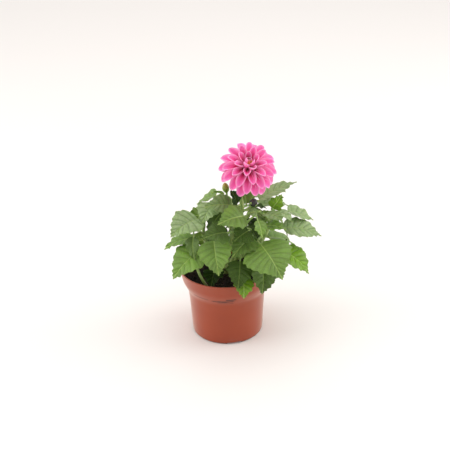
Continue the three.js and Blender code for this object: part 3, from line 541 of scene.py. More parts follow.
# Leaves
# The leaves stand in opposite pairs: ovate, toothed and soft, folded a little along a pale midrib. Each
# side vein runs forward to a tooth and lies in a groove, with the blade puffed up between veins.
# The shoot and height where a leaf grows, its blade's base and tip, width, look, and what else it needs:
LEAVES = {
    "upper_left": (("left", 146), (-33, -9, 161), (-66, -34, 149), 44, "grey", dict(roll=-22, teeth=7)),
    "grey_left": (("left", 149), (-14, -5, 178), (-27, -24, 161.5), 30, "grey", dict(roll=-14, lift=0.8)),
    "top_left": (("back_left", 150), (-10, 18, 179), (-33, 22, 165), 40, "even_light", dict(roll=-15)),
    "arching_top": (("main", 152), (9, -15, 181), (-25, -21, 181), 27, "dull", dict(teeth=7)),
    "left_narrow": (("left", 128), (-39, -12, 136), (-76, -18, 124), 28, "even_light", {}),
    "left_drooping": (("left", 136), (-38.5, -30, 147), (-37.5, -43, 122), 19, "shade", dict(teeth=5)),
    "low_far_left": (("basal", 110), (-30, -26, 127), (-65, -50, 100), 44, "even_light", dict(roll=-12, teeth=7)),
    "low_left": (("front", 118), (-14, -36, 144), (-9, -64, 111), 40, "even_light", dict(teeth=8)),
    "centre_left": (("front", 158), (23, -34, 175), (-9, -54, 174), 32, "plain", dict(teeth=7)),
    "curled_left": (("front", 146), (2, -43, 158), (-26, -55, 157), 31, "shade", dict(lift=0.2)),
    "low_centre": (("front", 108), (17, -45, 120), (13, -67, 93), 30, "dark", dict(teeth=7)),
    "low_front": (("front", 94), (20, -50, 100), (20, -70, 82), 24, "bright", dict(lift=0.1)),
    "low_right": (("front", 117), (44, -45, 112), (42, -66, 85), 32, "shade", dict(teeth=7)),
    "middle": (("front", 132), (31, -27, 143), (7, -56, 131), 31, "shade", dict(roll=4, lift=0.1, teeth=7)),
    "middle_dark": (("front", 150), (28, -37, 157), (10, -47, 148), 28, "dark", {}),
    "large_right": (("right", 128), (42, -36, 138), (66, -79, 112), 60, "even_light",
                    dict(roll=24, fold=6, droop=0.16, teeth=10, tooth=2.4)),
    "bright_right": (("right", 136), (70, -18, 119), (102, -32, 92), 38, "bright",
                     dict(roll=12, lift=0, teeth=7)),
    "long_right": (("right", 142), (72, -5, 143), (121, 2, 126.5), 34, "grey", dict(roll=12, teeth=8)),
    "upper_right": (("right", 154), (79, 14, 157.5), (113, 24, 138.5), 29, "grey", dict(roll=8, arch=0.05)),
    "top_right": (("back_right", 164), (43, 4, 178), (91, 20, 194), 27, "grey",
                  dict(roll=-6, arch=0.05, teeth=7)),
    "centre_right": (("right", 148), (49, -24, 172), (69, -38, 167), 27, "dull", dict(teeth=6)),
    "below_centre_right": (("right", 145), (48, -28, 158), (73, -38, 157), 23, "even_light", dict(teeth=5)),
    "beside_long": (("right", 160), (66, -2, 164), (82, -10, 153), 25, "grey", dict(teeth=4)),
    "centre_drooping": (("front", 156), (39, -44, 173), (43, -56, 156), 16, "even_light", dict(teeth=5)),
    "small_grey": (("main", 170), (38, -28, 177), (27, -30, 176), 13, "dull",
                   dict(lift=0.1, teeth=4, tooth=1.3)),
    "bright_top": (("right", 164), (59, 4, 167), (71, 8, 183), 18, "bright", dict(teeth=5)),
    "upright_small": (("right", 124), (76, -7, 127), (74, -6, 141), 8, "even_light",
                      dict(lift=0, teeth=3, tooth=1)),
    "low_shaded": (("main", 82), (-13, -24, 98), (-19, -46, 85), 26, "deep", dict(lift=0.2, teeth=5)),
    "under_bloom": (("main", 174), (15, -17, 183), (7, -22, 203), 24, "deep", dict(teeth=4)),
    "bright_left": (("bud_left", 179), (-1, 5, 186), (-16, 2, 190), 18, "bright", dict(teeth=4)),
    "inner_left": (("main", 149), (-3, -1, 165), (-20, -18, 142), 26, "dark", dict(teeth=5)),
    "inner_centre": (("main", 108), (1, -8, 147), (-22, -16, 124), 27, "dark", dict(teeth=5)),
    "inner_right": (("main", 118), (26, -6, 156), (42, -18, 146), 25, "dark", dict(teeth=4)),
    "inner_top": (("back_right", 150), (34, 12, 165), (53, 12, 162), 16, "dark", dict(teeth=4)),
    "inner_upper_right": (("main", 148), (31, -6, 168), (51, -12, 155), 24, "shade", dict(teeth=5)),
    "inner_low_right": (("back_right", 117), (27, 0, 145), (40, -16, 128), 28, "dark", dict(teeth=5)),
    "behind_stem": (("main", 168), (27, 3, 174), (23, 7, 192), 20, "shade", dict(roll=70, teeth=4)),
    "back_1": (("back_left", 134), (-30, 28, 148), (-62, 48, 124), 36, "even_light", dict(teeth=5)),
    "back_2": (("back_left", 146), (-16, 42, 152), (-26, 80, 136), 32, "grey", dict(teeth=4)),
    "back_3": (("back", 140), (12, 52, 146), (22, 92, 122), 36, "even_light", dict(teeth=4)),
    "back_4": (("back_right", 140), (40, 18, 146), (68, 21, 139), 26, "even_light", dict(roll=-55, teeth=5)),
    "back_5": (("back_right", 152), (44, 22, 162), (84, 38, 152), 30, "grey", dict(teeth=4)),
    "back_6": (("left", 104), (-15, 13, 119), (-46, 19, 112), 30, "even_light", dict(roll=55, teeth=4)),
    "back_7": (("back", 104), (-20, 42, 116), (-42, 72, 84), 36, "dark", dict(teeth=4)),
    "back_8": (("back", 116), (14, 48, 118), (18, 82, 88), 36, "even_light", dict(teeth=4)),
    "back_9": (("back_right", 114), (42, 38, 118), (66, 62, 88), 36, "dark", dict(teeth=5)),
    "back_10": (("right", 108), (56, 16, 120), (90, 32, 98), 32, "even_light", dict(teeth=4)),
    "back_11": (("back", 144), (-5, 27, 146), (17, 24, 151), 19, "grey", dict(roll=-55, teeth=4)),
    "back_12": (("back_right", 168), (52, 32, 178), (79, 45, 169), 29, "grey", dict(teeth=4)),
    "back_13": (("back_left", 146), (-22, 14, 154), (-49, 18, 148), 27, "grey", dict(roll=55, teeth=5)),
    "back_top": (("back_right", 160), (34, 36, 168), (40, 64, 160), 26, "grey", dict(teeth=4)),
}
# A usual leaf: its roll about the midrib and the fold of each half in degrees, the midrib's arch as a
# share of its length, the margins' droop as a share of the half width, the teeth on each side, their
# height, and how steeply its stalk rises from the shoot.
USUAL_LEAF = dict(roll=0, arch=0.1, fold=14, droop=0.1, teeth=6, tooth=2.3, lift=0.5)
# Each look as brightness, 0 to 1, which is painted light and shade: leaves deep in the foliage are painted
# darker and leaves in full light lighter; and the strength of the dusty bloom on its upper face.
LEAF_LOOKS = {"grey": (0.55, 0.8), "even_light": (0.62, 0.2), "plain": (0.46, 0.15), "bright": (0.95, 0.0),
              "dull": (0.42, 0.45), "shade": (0.24, 0.1), "dark": (0.1, 0.04), "deep": (0.0, 0.0)}
VEIN_SWEEP = 0.22  # how far forward a side vein runs, as a share of the length
TOOTH_PEAK, TOOTH_NOTCH = 0.7, 0.4  # where in its pitch a tooth is highest, and how deep its notch is
# A blade is widest a third of the way along, blunt at its base and pointed at its tip.
OUTLINE_LEAN, OUTLINE_BASE, OUTLINE_TIP = 0.6, 0.7, 1.15
# How the margin waves in all, its waves along the leaf, and where they start on each side
WAVE_HEIGHT, WAVE_TURNS, WAVE_RIGHT, WAVE_LEFT = 1, 1.6, 0.1, 0.55
TOOTH_UNEVEN, TOOTH_SECOND = 0.3, 0.25  # how teeth differ in size, and the smaller teeth along each
LEAF_THICK = 0.4
LEAF_PUFF = 0.9  # how far the blade rises between two side veins
LEAF_RUFFLE = 0.7  # how far the margin waves up and down, tooth by tooth
FULL_PUFF_HALF = 18  # leaves with a smaller half width are puffed up less
ROWS_IN_TOOTH = [0, 0.08, 0.17, 0.25, 0.34, 0.42, 0.5, 0.58, 0.66, 0.7, 0.75, 0.83, 0.92]
LEAF_COLUMNS = 28
STALK_ROOT, STALK_END = 1.4875, 0.8075  # its radii
STALK_SINK = 0.1  # how far it runs on under the blade, as a share of the length
STALK_STEPS, STALK_SIDES = 22, 12


def blade_frame(leaf):
    """A blade's axes: along its midrib, across it, and out of its upper face; and its length."""
    base, tip = np.array(leaf["base"], float), np.array(leaf["tip"], float)
    along = unit(tip - base)
    outward = unit((base + tip) * [1, 1, 0])
    normal = np.array([0, 0, 0.8]) + 0.6 * outward
    normal = unit(normal - along * (normal @ along))
    roll = math.radians(leaf["roll"])
    normal = normal * math.cos(roll) + np.cross(along, normal) * math.sin(roll)
    return base, along, np.cross(along, normal), normal, np.linalg.norm(tip - base)


def leaf_surface(leaf, s, t):
    """Points and normals of a leaf's middle surface: s runs along the midrib, t from -1 to 1 across."""
    base, along, across, up, length = blade_frame(leaf)
    half, rise, teeth = leaf["width"] / 2, leaf["arch"] * length, leaf["teeth"]
    margin = s + VEIN_SWEEP * np.sin(np.pi * s)
    share = s + (margin - s) * np.abs(t) ** 1.25
    phase = (s * teeth) % 1
    uneven = 1 + TOOTH_UNEVEN * np.sin(2.4 * np.floor(s * teeth) + 1.3 * np.sign(t) + leaf["width"])
    tooth = np.where(phase < TOOTH_PEAK, phase / TOOTH_PEAK, (1 - phase) / (1 - TOOTH_PEAK))
    saw = uneven * tooth - TOOTH_NOTCH
    saw = saw + TOOTH_SECOND * np.abs(np.sin(3 * np.pi * phase)) ** 2 * (phase < TOOTH_PEAK)
    fade = np.clip(np.minimum(s * 8, (1 - s) * 4), 0, 1)
    capped = np.minimum(1, margin)
    ovate = np.sin(np.pi * capped ** OUTLINE_LEAN) ** (OUTLINE_BASE + (OUTLINE_TIP - OUTLINE_BASE) * margin)
    offset = t * (half * ovate + leaf["tooth"] * saw * fade)
    slope = (rise * np.pi * np.cos(np.pi * share) / length)[..., None]
    normal = unit(up - along * slope)
    wave = np.sin(2 * np.pi * (WAVE_TURNS * s + np.where(t > 0, WAVE_RIGHT, WAVE_LEFT)))
    ripple = WAVE_HEIGHT * np.abs(t) ** 1.5 * wave * np.sin(np.pi * s)
    ruffle = np.sin(np.pi * (s * teeth * 1.3 + 0.4 * np.sign(t)) + leaf["width"])
    ripple = ripple + LEAF_RUFFLE * np.abs(t) ** 3 * ruffle * fade
    folded = np.abs(offset) * math.tan(math.radians(leaf["fold"]))
    height = folded - leaf["droop"] * offset ** 2 / half + ripple
    puff = np.abs(np.sin(np.pi * (s * teeth - TOOTH_PEAK))) ** 0.7 * np.sin(np.pi * np.abs(t) ** 0.8) ** 0.8
    puff = puff * LEAF_PUFF * min(1, half / FULL_PUFF_HALF)
    height = height + puff * np.sin(np.pi * np.clip(s, 0, 1)) ** 0.5
    point = (base + along * (length * share)[..., None] + up * (rise * np.sin(np.pi * share))[..., None]
             + across * offset[..., None] + normal * height[..., None])
    return point, normal, offset


def sheet(points, normals, thick):
    """A thin closed sheet between two skins, from a grid of points. Its upper skin comes first."""
    rows, columns = points.shape[:2]
    skin = rows * columns
    both = np.concatenate([(points + normals * thick / 2).reshape(-1, 3),
                           (points - normals * thick / 2).reshape(-1, 3)])
    at = np.arange(skin).reshape(rows, columns)
    quads = np.stack([at[:-1, :-1], at[:-1, 1:], at[1:, 1:], at[1:, :-1]], -1).reshape(-1, 4)
    rim = [*at[0], *at[1:, -1], *at[-1, -2::-1], *at[-2:0:-1, 0]]
    edge = [[a, a + skin, b + skin, b] for a, b in zip(rim, rim[1:] + rim[:1])]
    return both, quads.tolist() + (quads[:, ::-1] + skin).tolist() + edge


def grid_normals(points):
    """The normals of a grid of points whose rows run along and whose columns run across."""
    return unit(np.cross(np.gradient(points, axis=1), np.gradient(points, axis=0)) + 1e-12)


# The greens painted for a leaf in deep shade, in even light and in full light, its veins, the dust of its
# hairs, its lower face, and the painted shade in the furrow that each side vein lies in
LEAF_DEEP, LEAF_MID, LEAF_LIGHT = "#1c310a", "#618523", "#759f17"
LEAF_VEIN, LEAF_DUST, LEAF_UNDER = "#a9c268", "#a9ba90", "#7f9a4e"
LEAF_FURROW_SHADE = "#2c470f"
LEAF_PATCH, POWDER_GRAIN = 16.7, 3.85  # the powder is drawn coarser than life, so that it shows
TERTIARY_MESH = 2.2  # millimetres between the finest veins, drawn coarser than life so that they show
# A soft leaf: a satin mid green, with painted shade that darkens leaves deep in the foliage and painted
# light on leaves in full light, and pale veins in furrows darkened by painted shade. Its lower face is paler
# and duller, and fine hairs lay a grey bloom on the upper face of the higher leaves.
leaf_skin, tree = new_material("soft_toothed_leaf")
place = add(tree, "TexCoord", out=3)
veins = add(tree, "SeparateXYZ", {0: add(tree, "Attribute", out=1, attribute_name="veins")})
across, pitch = veins.node.outputs[1], veins.node.outputs[2]
look = add(tree, "SeparateXYZ", {0: add(tree, "Attribute", out=1, attribute_name="look")})
dust, under = look.node.outputs[1], look.node.outputs[2]
# Painted shade and light: a leaf's brightness mixes its green from the green of deep shade through even
# light to full light.
even_light = add(tree, "MapRange", {"Value": look, "From Max": 0.5})
colour = add(tree, "Mix", {0: even_light, 6: linear(LEAF_DEEP), 7: linear(LEAF_MID)}, out=2, data_type="RGBA")
lit = add(tree, "MapRange", {"Value": look, "From Min": 0.5})
colour = add(tree, "Mix", {0: lit, 6: colour, 7: linear(LEAF_LIGHT)}, out=2, data_type="RGBA")
patches = add(tree, "TexNoise", {"Vector": place, "Scale": 1 / (LEAF_PATCH * MM), "Detail": 3.0})
patches = add(tree, "MapRange", {"Value": patches, "From Min": 0.3, "From Max": 0.7,
                                 "To Min": -0.25, "To Max": 0.2})
value = add(tree, "Math", {0: patches, 1: 1.0}, operation="ADD")
colour = add(tree, "HueSaturation", {"Value": value, "Color": colour})
powder = add(tree, "TexNoise", {"Vector": place, "Scale": 1 / (POWDER_GRAIN * MM), "Detail": 4.0,
                                "Roughness": 0.7})
powder = add(tree, "MapRange", {"Value": powder, "From Min": 0.35, "From Max": 0.65,
                                "To Min": 0.45, "To Max": 0.95})
powder = add(tree, "Math", {0: powder, 1: dust}, operation="MULTIPLY")
colour = add(tree, "Mix", {0: powder, 6: colour, 7: linear(LEAF_DUST)}, out=2, data_type="RGBA")
colour = add(tree, "Mix", {0: under, 6: colour, 7: linear(LEAF_UNDER)}, out=2, data_type="RGBA")
# The distance to the nearest side vein and to the midrib, in millimetres
to_vein = add(tree, "Math", {0: veins, 1: 0.5}, operation="ADD")
to_vein = add(tree, "Math", {0: to_vein}, operation="FRACT")
to_vein = add(tree, "Math", {0: to_vein, 1: 0.5}, operation="SUBTRACT")
to_vein = add(tree, "Math", {0: to_vein}, operation="ABSOLUTE")
to_vein = add(tree, "Math", {0: to_vein, 1: pitch}, operation="MULTIPLY")
# Painted shade: the furrow is darkened on the upper face only, and the pale vein in it is thin.
crease = add(tree, "MapRange", {"Value": to_vein, "From Min": 1.0, "From Max": 0.15, "To Max": 0.44})
above = add(tree, "Math", {0: under, 1: -1.8, 2: 1.0}, operation="MULTIPLY_ADD")
crease = add(tree, "Math", {0: crease, 1: above}, operation="MULTIPLY")
colour = add(tree, "Mix", {0: crease, 6: colour, 7: linear(LEAF_FURROW_SHADE)}, out=2, data_type="RGBA")
side_vein = add(tree, "MapRange", {"Value": to_vein, "From Min": 0.4, "From Max": 0.1, "To Max": 0.3})
beside = add(tree, "Math", {0: across}, operation="ABSOLUTE")
midrib = add(tree, "MapRange", {"Value": beside, "From Min": 0.95, "From Max": 0.35, "To Max": 0.8})
mesh_veins = add(tree, "TexVoronoi", {"Vector": place, "Scale": 1 / (TERTIARY_MESH * MM)},
                 feature="DISTANCE_TO_EDGE")
fine_vein = add(tree, "MapRange", {"Value": mesh_veins, "From Min": 0.1, "From Max": 0.0, "To Max": 0.16})
vein = add(tree, "Math", {0: side_vein, 1: midrib}, operation="MAXIMUM")
vein = add(tree, "Math", {0: vein, 1: fine_vein}, operation="MAXIMUM")
# Veins show less on a leaf in shade and under dust.
pale = add(tree, "MapRange", {"Value": even_light, "To Min": 0.15})
vein = add(tree, "Math", {0: vein, 1: pale}, operation="MULTIPLY")
clear = add(tree, "MapRange", {"Value": dust, "To Min": 1.0, "To Max": 0.35})
vein = add(tree, "Math", {0: vein, 1: clear}, operation="MULTIPLY")
colour = add(tree, "Mix", {0: vein, 6: colour, 7: linear(LEAF_VEIN)}, out=2, data_type="RGBA")
swelling = add(tree, "MapRange", {"Value": mesh_veins, "From Min": 0.0, "From Max": 0.35})
relief = add(tree, "Math", {0: powder, 1: 0.4, 2: swelling}, operation="MULTIPLY_ADD")
bump = add(tree, "Bump", {"Strength": 0.55, "Distance": 0.25 * MM, "Height": relief})
gloss = add(tree, "MapRange", {"Value": powder, "To Min": 0.42, "To Max": 0.68})
# Leaves with painted shade also reflect less.
shine = add(tree, "MapRange", {"Value": even_light, "To Min": 0.1, "To Max": 0.45})
shader = add(tree, "BsdfPrincipled", {"Base Color": colour, "Roughness": gloss, "Normal": bump, "IOR": 1.42,
                                      "Specular IOR Level": shine,
                                      "Subsurface Weight": 0.12, "Subsurface Radius": (0.5, 1.0, 0.15),
                                      "Subsurface Scale": 1.2 * MM})
add(tree, "OutputMaterial", {"Surface": shader})


def node_at(shoot, height):
    """Where a shoot passes a height on its way up."""
    line = smooth_line(SHOOTS[shoot], 400)
    return line[int(np.argmax(line[:, 2] >= height))]


def stalk_line(leaf):
    """The leaf's stalk: out of its shoot, up and over into the midrib, and on under the blade."""
    root = node_at(*leaf["on"])
    base = np.array(leaf["base"], float)
    reach = np.linalg.norm(base - root)
    point, normal, _ = leaf_surface(leaf, np.array([0.001, STALK_SINK]), np.zeros(2))
    start, end = point[0] - normal[0] * LEAF_THICK, point[1] - normal[1] * 2 * LEAF_THICK
    run = unit(end - start)
    leave = unit(unit(base - root) + np.array([0, 0, leaf["lift"]]))
    places = [root, root + leave * reach * 0.45, start - run * reach * 0.22, start, end]
    return smooth_line(places, STALK_STEPS)


leaf_nodes = {}
for name, (on, base, tip, width, look, extra) in LEAVES.items():
    leaf = {**USUAL_LEAF, "on": on, "base": base, "tip": tip, "width": width, **extra}
    teeth = leaf["teeth"]
    rows = np.array([(k + share) / teeth for k in range(teeth) for share in ROWS_IN_TOOTH] + [0.999])
    rows[0] = 0.004
    even = np.linspace(-1, 1, LEAF_COLUMNS + 1)
    columns = np.sign(even) * np.abs(even) ** 1.15
    s, t = np.meshgrid(rows, columns, indexing="ij")
    points, _, offset = leaf_surface(leaf, s, t)
    length = np.linalg.norm(np.array(tip, float) - base)
    draw = random.Random(name)
    bright, dusty = LEAF_LOOKS[look]
    bright = min(1, max(0, bright + draw.uniform(-0.07, 0.07)))
    skin_points, skin_faces = sheet(points, grid_normals(points), LEAF_THICK)
    veins = np.stack([s * teeth - TOOTH_PEAK, offset, np.full_like(s, length / teeth)], -1).reshape(-1, 3)
    upper = np.tile([bright, dusty, 0], (s.size, 1))
    lower = np.tile([bright, 0, 0.55], (s.size, 1))
    shape = Shape()
    shape.take(skin_points, skin_faces, veins=np.concatenate([veins, veins]),
               look=np.concatenate([upper, lower]))
    line = stalk_line(leaf)
    shape.take(*tube(line, np.linspace(STALK_ROOT, STALK_END, STALK_STEPS), STALK_SIDES), slot=1)
    piece = shape.piece("blade_" + name, [leaf_skin, stem_skin])
    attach(piece, "root")
    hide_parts("leaf_" + name)
    leaf_nodes.setdefault(on[0], []).append(on[1])


# A shoot is this share thicker where a leaf grows, and this far above and below it
NODE_SWELL, NODE_REACH = 0.22, 2.6


def shoot_rod(name):
    """A shoot's rod, swollen where its leaves grow."""
    line = smooth_line(SHOOTS[name], 60 if name == "main" else 36)
    root, end = SHOOT_RADII[name]
    radii = np.linspace(root, end, len(line))
    for height in leaf_nodes.get(name, []):
        radii = radii * (1 + NODE_SWELL * np.exp(-((line[:, 2] - height) / NODE_REACH) ** 2))
    return tube(line, radii, 18)


stems_shape = Shape()
for name in SHOOTS:
    if name != "basal":
        stems_shape.take(*shoot_rod(name))
stems = stems_shape.piece("branching_stem", [stem_skin])
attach(stems, "root")
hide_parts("stems")
basal_shape = Shape()
basal_shape.take(*shoot_rod("basal"))
basal = basal_shape.piece("lone_shoot", [stem_skin])
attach(basal, "root")
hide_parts("basal_stem")

# Bloom
# One double flower. Its petals stand in a spiral from a tight heart of unopened florets outward, each a
# soft spoon with its margins turned up, pale along the rim and magenta down its throat.
BLOOM_CENTRE = np.array([29, -12, 227.0])
BLOOM_AXIS = unit(np.array([0.09, -0.55, 0.83]))
BLOOM_SIDE = unit(np.cross([1, 0, 0], BLOOM_AXIS))
BLOOM_ACROSS = np.cross(BLOOM_AXIS, BLOOM_SIDE)
PETALS = 52
GOLDEN_ANGLE = math.radians(137.508)
WIDEST_ANGLE = math.radians(116)
PETAL_THICK = 0.45
PETAL_ROWS, PETAL_COLUMNS = 22, 14
SHORTEST_PETAL, LONGEST_PETAL = 15, 35.5
NARROWEST_HALF, WIDEST_HALF = 3.2, 7.4
PETAL_FOOT = 5  # how far from the bloom's centre petals begin
HEART_FLORETS = 16
FLORET_REACH, FLORET_GIRTH = (15.0, 18.0), (1.1, 1.6)
RECEPTACLE = 7.4  # its radius


def bloom_direction(angle, turn):
    """A direction from the bloom's centre: an angle from its axis, and a turn about it."""
    angle, turn = np.asarray(angle, float)[..., None], np.asarray(turn, float)[..., None]
    return (BLOOM_AXIS * np.cos(angle) + BLOOM_SIDE * np.sin(angle) * np.cos(turn)
            + BLOOM_ACROSS * np.sin(angle) * np.sin(turn))


def mix(a, b, share):
    """A value between a and b."""
    return a + (b - a) * share


def petal_surface(index, s, t):
    """Points of a petal, by its place in the spiral, and how far out it stands, from 0 to 1."""
    draw = random.Random(100 + index)
    out = (index + 0.5) / PETALS
    angle = math.acos(1 - (1 - math.cos(WIDEST_ANGLE)) * out)
    turn = index * GOLDEN_ANGLE
    opened = math.sin(min(angle, math.pi / 2)) ** 1.1
    length = mix(SHORTEST_PETAL, LONGEST_PETAL, opened) * draw.uniform(0.97, 1.0)
    half = mix(NARROWEST_HALF, WIDEST_HALF, out ** 0.6) * draw.uniform(0.96, 1.04)
    bend = mix(-0.5, 0.32, min(1, out * 2.2)) + draw.uniform(-0.07, 0.07)
    lean = angle + bend * (s - 0.6)
    round_off = np.clip((s - 0.58) / 0.42, 0, 1)
    width = half * np.minimum(1, 0.16 + 1.5 * s) * (1 - round_off ** 2.6) ** 0.6
    along = bloom_direction(lean, turn)
    sideways = bloom_direction(math.pi / 2, turn - math.pi / 2)
    inward = bloom_direction(lean - math.pi / 2, turn)
    spoon = mix(1.0, 0.58, s) * np.abs(t) ** 2.2 * width
    curl = 0.9 * np.clip(np.abs(t) - 0.6, 0, 1) ** 2 * half * np.sin(np.pi * np.clip(s, 0, 1)) ** 0.6
    crease = -0.35 * np.exp(-(t / 0.16) ** 2) * np.sin(np.pi * np.clip(s, 0, 1))
    tip_lift = draw.uniform(-0.6, 1.0) * np.clip(s - 0.8, 0, 1) ** 2 * 25
    wave = 0.35 * np.abs(t) ** 2 * np.sin(2 * np.pi * (1.7 * s + draw.random()) + np.sign(t))
    narrow = 1 - 0.16 * np.abs(t) ** 3 * np.sin(np.pi * np.clip(s, 0, 1))
    points = (BLOOM_CENTRE + along * mix(PETAL_FOOT, length, s)[..., None]
              + sideways * (t * width * narrow)[..., None]
              + inward * (spoon + curl + crease + tip_lift + wave)[..., None])
    return points, out


bloom_shape = Shape()
rows = np.linspace(0, 1, PETAL_ROWS) ** 0.85 * 0.996
columns = np.sin(np.linspace(-1, 1, PETAL_COLUMNS + 1) * math.pi / 2)
s, t = np.meshgrid(rows, columns, indexing="ij")
for index in range(PETALS):
    points, out = petal_surface(index, s, t)
    skin_points, skin_faces = sheet(points, grid_normals(points), PETAL_THICK)
    marks = np.stack([s, t, np.full_like(s, out)], -1).reshape(-1, 3)
    upper = np.tile([0, 0, 0], (s.size, 1))
    lower = np.tile([1, 0, 0], (s.size, 1))
    bloom_shape.take(skin_points, skin_faces, petal=np.concatenate([marks, marks]),
                     face=np.concatenate([upper, lower]))

# The heart: florets still closed, each a small pointed tube leaning to the middle
draw = random.Random(5)
for k in range(HEART_FLORETS):
    angle = 0.42 * math.sqrt((k + 0.5) / HEART_FLORETS)
    turn = k * GOLDEN_ANGLE + 0.6
    reach = draw.uniform(*FLORET_REACH)
    line = []
    for u in np.linspace(0, 1, 9):
        leaning = bloom_direction(angle * mix(1.0, 0.72, u), turn)
        line.append(BLOOM_CENTRE + leaning * mix(PETAL_FOOT, reach, u))
    line = np.array(line)
    girth = mix(*FLORET_GIRTH, (k + 0.5) / HEART_FLORETS)
    radii = girth * np.sin(np.pi * np.linspace(0.22, 0.97, 9)) ** 0.6
    points, faces = tube(line, radii, 10)
    share = np.concatenate([np.repeat(np.linspace(0, 1, 9), 10), [0, 1]])
    marks = np.stack([share, np.zeros_like(share), np.full_like(share, -1 + 0.6 * (k / HEART_FLORETS))], -1)
    bloom_shape.take(points, faces, slot=1, petal=marks)
# The receptacle that every petal grows from. It takes the deep red of the petals' foot, which is partly
# painted shade in the gaps between their bases.
half_turn = np.linspace(0, math.pi, 14)
ball_profile = RECEPTACLE * np.stack([np.sin(half_turn), -np.cos(half_turn)], 1)
ball_points, ball_faces = lathe(ball_profile, 24)
turned = np.stack([BLOOM_SIDE, BLOOM_ACROSS, BLOOM_AXIS])
bloom_shape.take(ball_points @ turned + BLOOM_CENTRE, ball_faces,
                 petal=np.tile([0.0, 0.0, 0.5], (len(ball_points), 1)))

PETAL_PINK, PETAL_RIM, PETAL_THROAT, PETAL_RED = "#ff78c3", "#ffbcdf", "#ea3580", "#b00f38"
PETAL_BACK = "#ff9fcc"
# Streaks run from foot to tip, and those of one petal aren't those of the next.
STREAK_LENGTH, STREAK_WIDTH = 22.2, 0.57
PETAL_STREAKS = (LONGEST_PETAL / STREAK_LENGTH, WIDEST_HALF / STREAK_WIDTH, 40.0)
# Petal: a thin satin skin full of sap. Light passes into it and glows back pink, and fine lengthwise
# veins streak it from its throat to its rim.
petal_skin, tree = new_material("dahlia_petal")
petal = add(tree, "SeparateXYZ", {0: add(tree, "Attribute", out=1, attribute_name="petal")})
sidelong, ring = petal.node.outputs[1], petal.node.outputs[2]
face = add(tree, "SeparateXYZ", {0: add(tree, "Attribute", out=1, attribute_name="face")})
edge = add(tree, "Math", {0: sidelong}, operation="ABSOLUTE")
toward_tip = add(tree, "MapRange", {"Value": petal, "From Min": 0.9, "From Max": 1.0})
rim = add(tree, "MapRange", {"Value": edge, "From Min": 0.5, "From Max": 1.0, "To Max": 0.9})
rim = add(tree, "Math", {0: rim, 1: toward_tip}, operation="MAXIMUM")
# Partly the petal's own colour and partly painted shade: the magenta of the throat, strongest down the
# hollow of the spoon and on the inner petals that the outer ones shade, and the deep red at the foot.
throat = add(tree, "MapRange", {"Value": petal, "From Min": 0.9, "From Max": 0.4})
hollow = add(tree, "MapRange", {"Value": edge, "From Min": 0.85, "From Max": 0.2})
throat = add(tree, "Math", {0: throat, 1: hollow}, operation="MULTIPLY")
inner = add(tree, "MapRange", {"Value": ring, "From Min": 1.0, "From Max": 0.35, "To Min": 0.6})
throat = add(tree, "Math", {0: throat, 1: inner}, operation="MULTIPLY")
deep = add(tree, "MapRange", {"Value": petal, "From Min": 0.6, "From Max": 0.2})
colour = add(tree, "Mix", {0: throat, 6: linear(PETAL_PINK), 7: linear(PETAL_THROAT)},
             out=2, data_type="RGBA")
colour = add(tree, "Mix", {0: deep, 6: colour, 7: linear(PETAL_RED)}, out=2, data_type="RGBA")
lengthwise = add(tree, "CombineXYZ", {0: petal, 1: sidelong, 2: ring})
lengthwise = add(tree, "Mapping", {"Vector": lengthwise, "Scale": PETAL_STREAKS})
streaks = add(tree, "TexNoise", {"Vector": lengthwise, "Scale": 1.0, "Detail": 2.0})
streak = add(tree, "MapRange", {"Value": streaks, "From Min": 0.35, "From Max": 0.65, "To Max": 0.2})
colour = add(tree, "Mix", {0: streak, 6: colour, 7: linear(PETAL_RIM)}, out=2, data_type="RGBA")
colour = add(tree, "Mix", {0: rim, 6: colour, 7: linear(PETAL_RIM)}, out=2, data_type="RGBA")
back = add(tree, "Math", {0: face, 1: 0.6}, operation="MULTIPLY")
colour = add(tree, "Mix", {0: back, 6: colour, 7: linear(PETAL_BACK)}, out=2, data_type="RGBA")
# Each petal has a shade of its own.
count = add(tree, "Math", {0: ring, 1: PETALS}, operation="MULTIPLY")
count = add(tree, "Math", {0: count}, operation="FLOOR")
shade = add(tree, "TexWhiteNoise", {"W": count}, noise_dimensions="1D")
shade = add(tree, "MapRange", {"Value": shade, "To Min": 0.97, "To Max": 1.1})
colour = add(tree, "HueSaturation", {"Value": shade, "Color": colour})
bump = add(tree, "Bump", {"Strength": 0.35, "Distance": 0.2 * MM, "Height": streaks})
shader = add(tree, "BsdfPrincipled", {"Base Color": colour, "Roughness": 0.5, "Normal": bump, "IOR": 1.4,
                                      "Subsurface Weight": 0.2, "Subsurface Radius": (1.0, 0.3, 0.6),
                                      "Subsurface Scale": 1.8 * MM, "Specular IOR Level": 0.2,
                                      "Sheen Weight": 0.04})
add(tree, "OutputMaterial", {"Surface": shader})

HEART_YELLOW, HEART_PINK = "#f0b848", "#f478ae"
HEART_GRAIN = 1.11  # drawn coarser than life, so that it shows
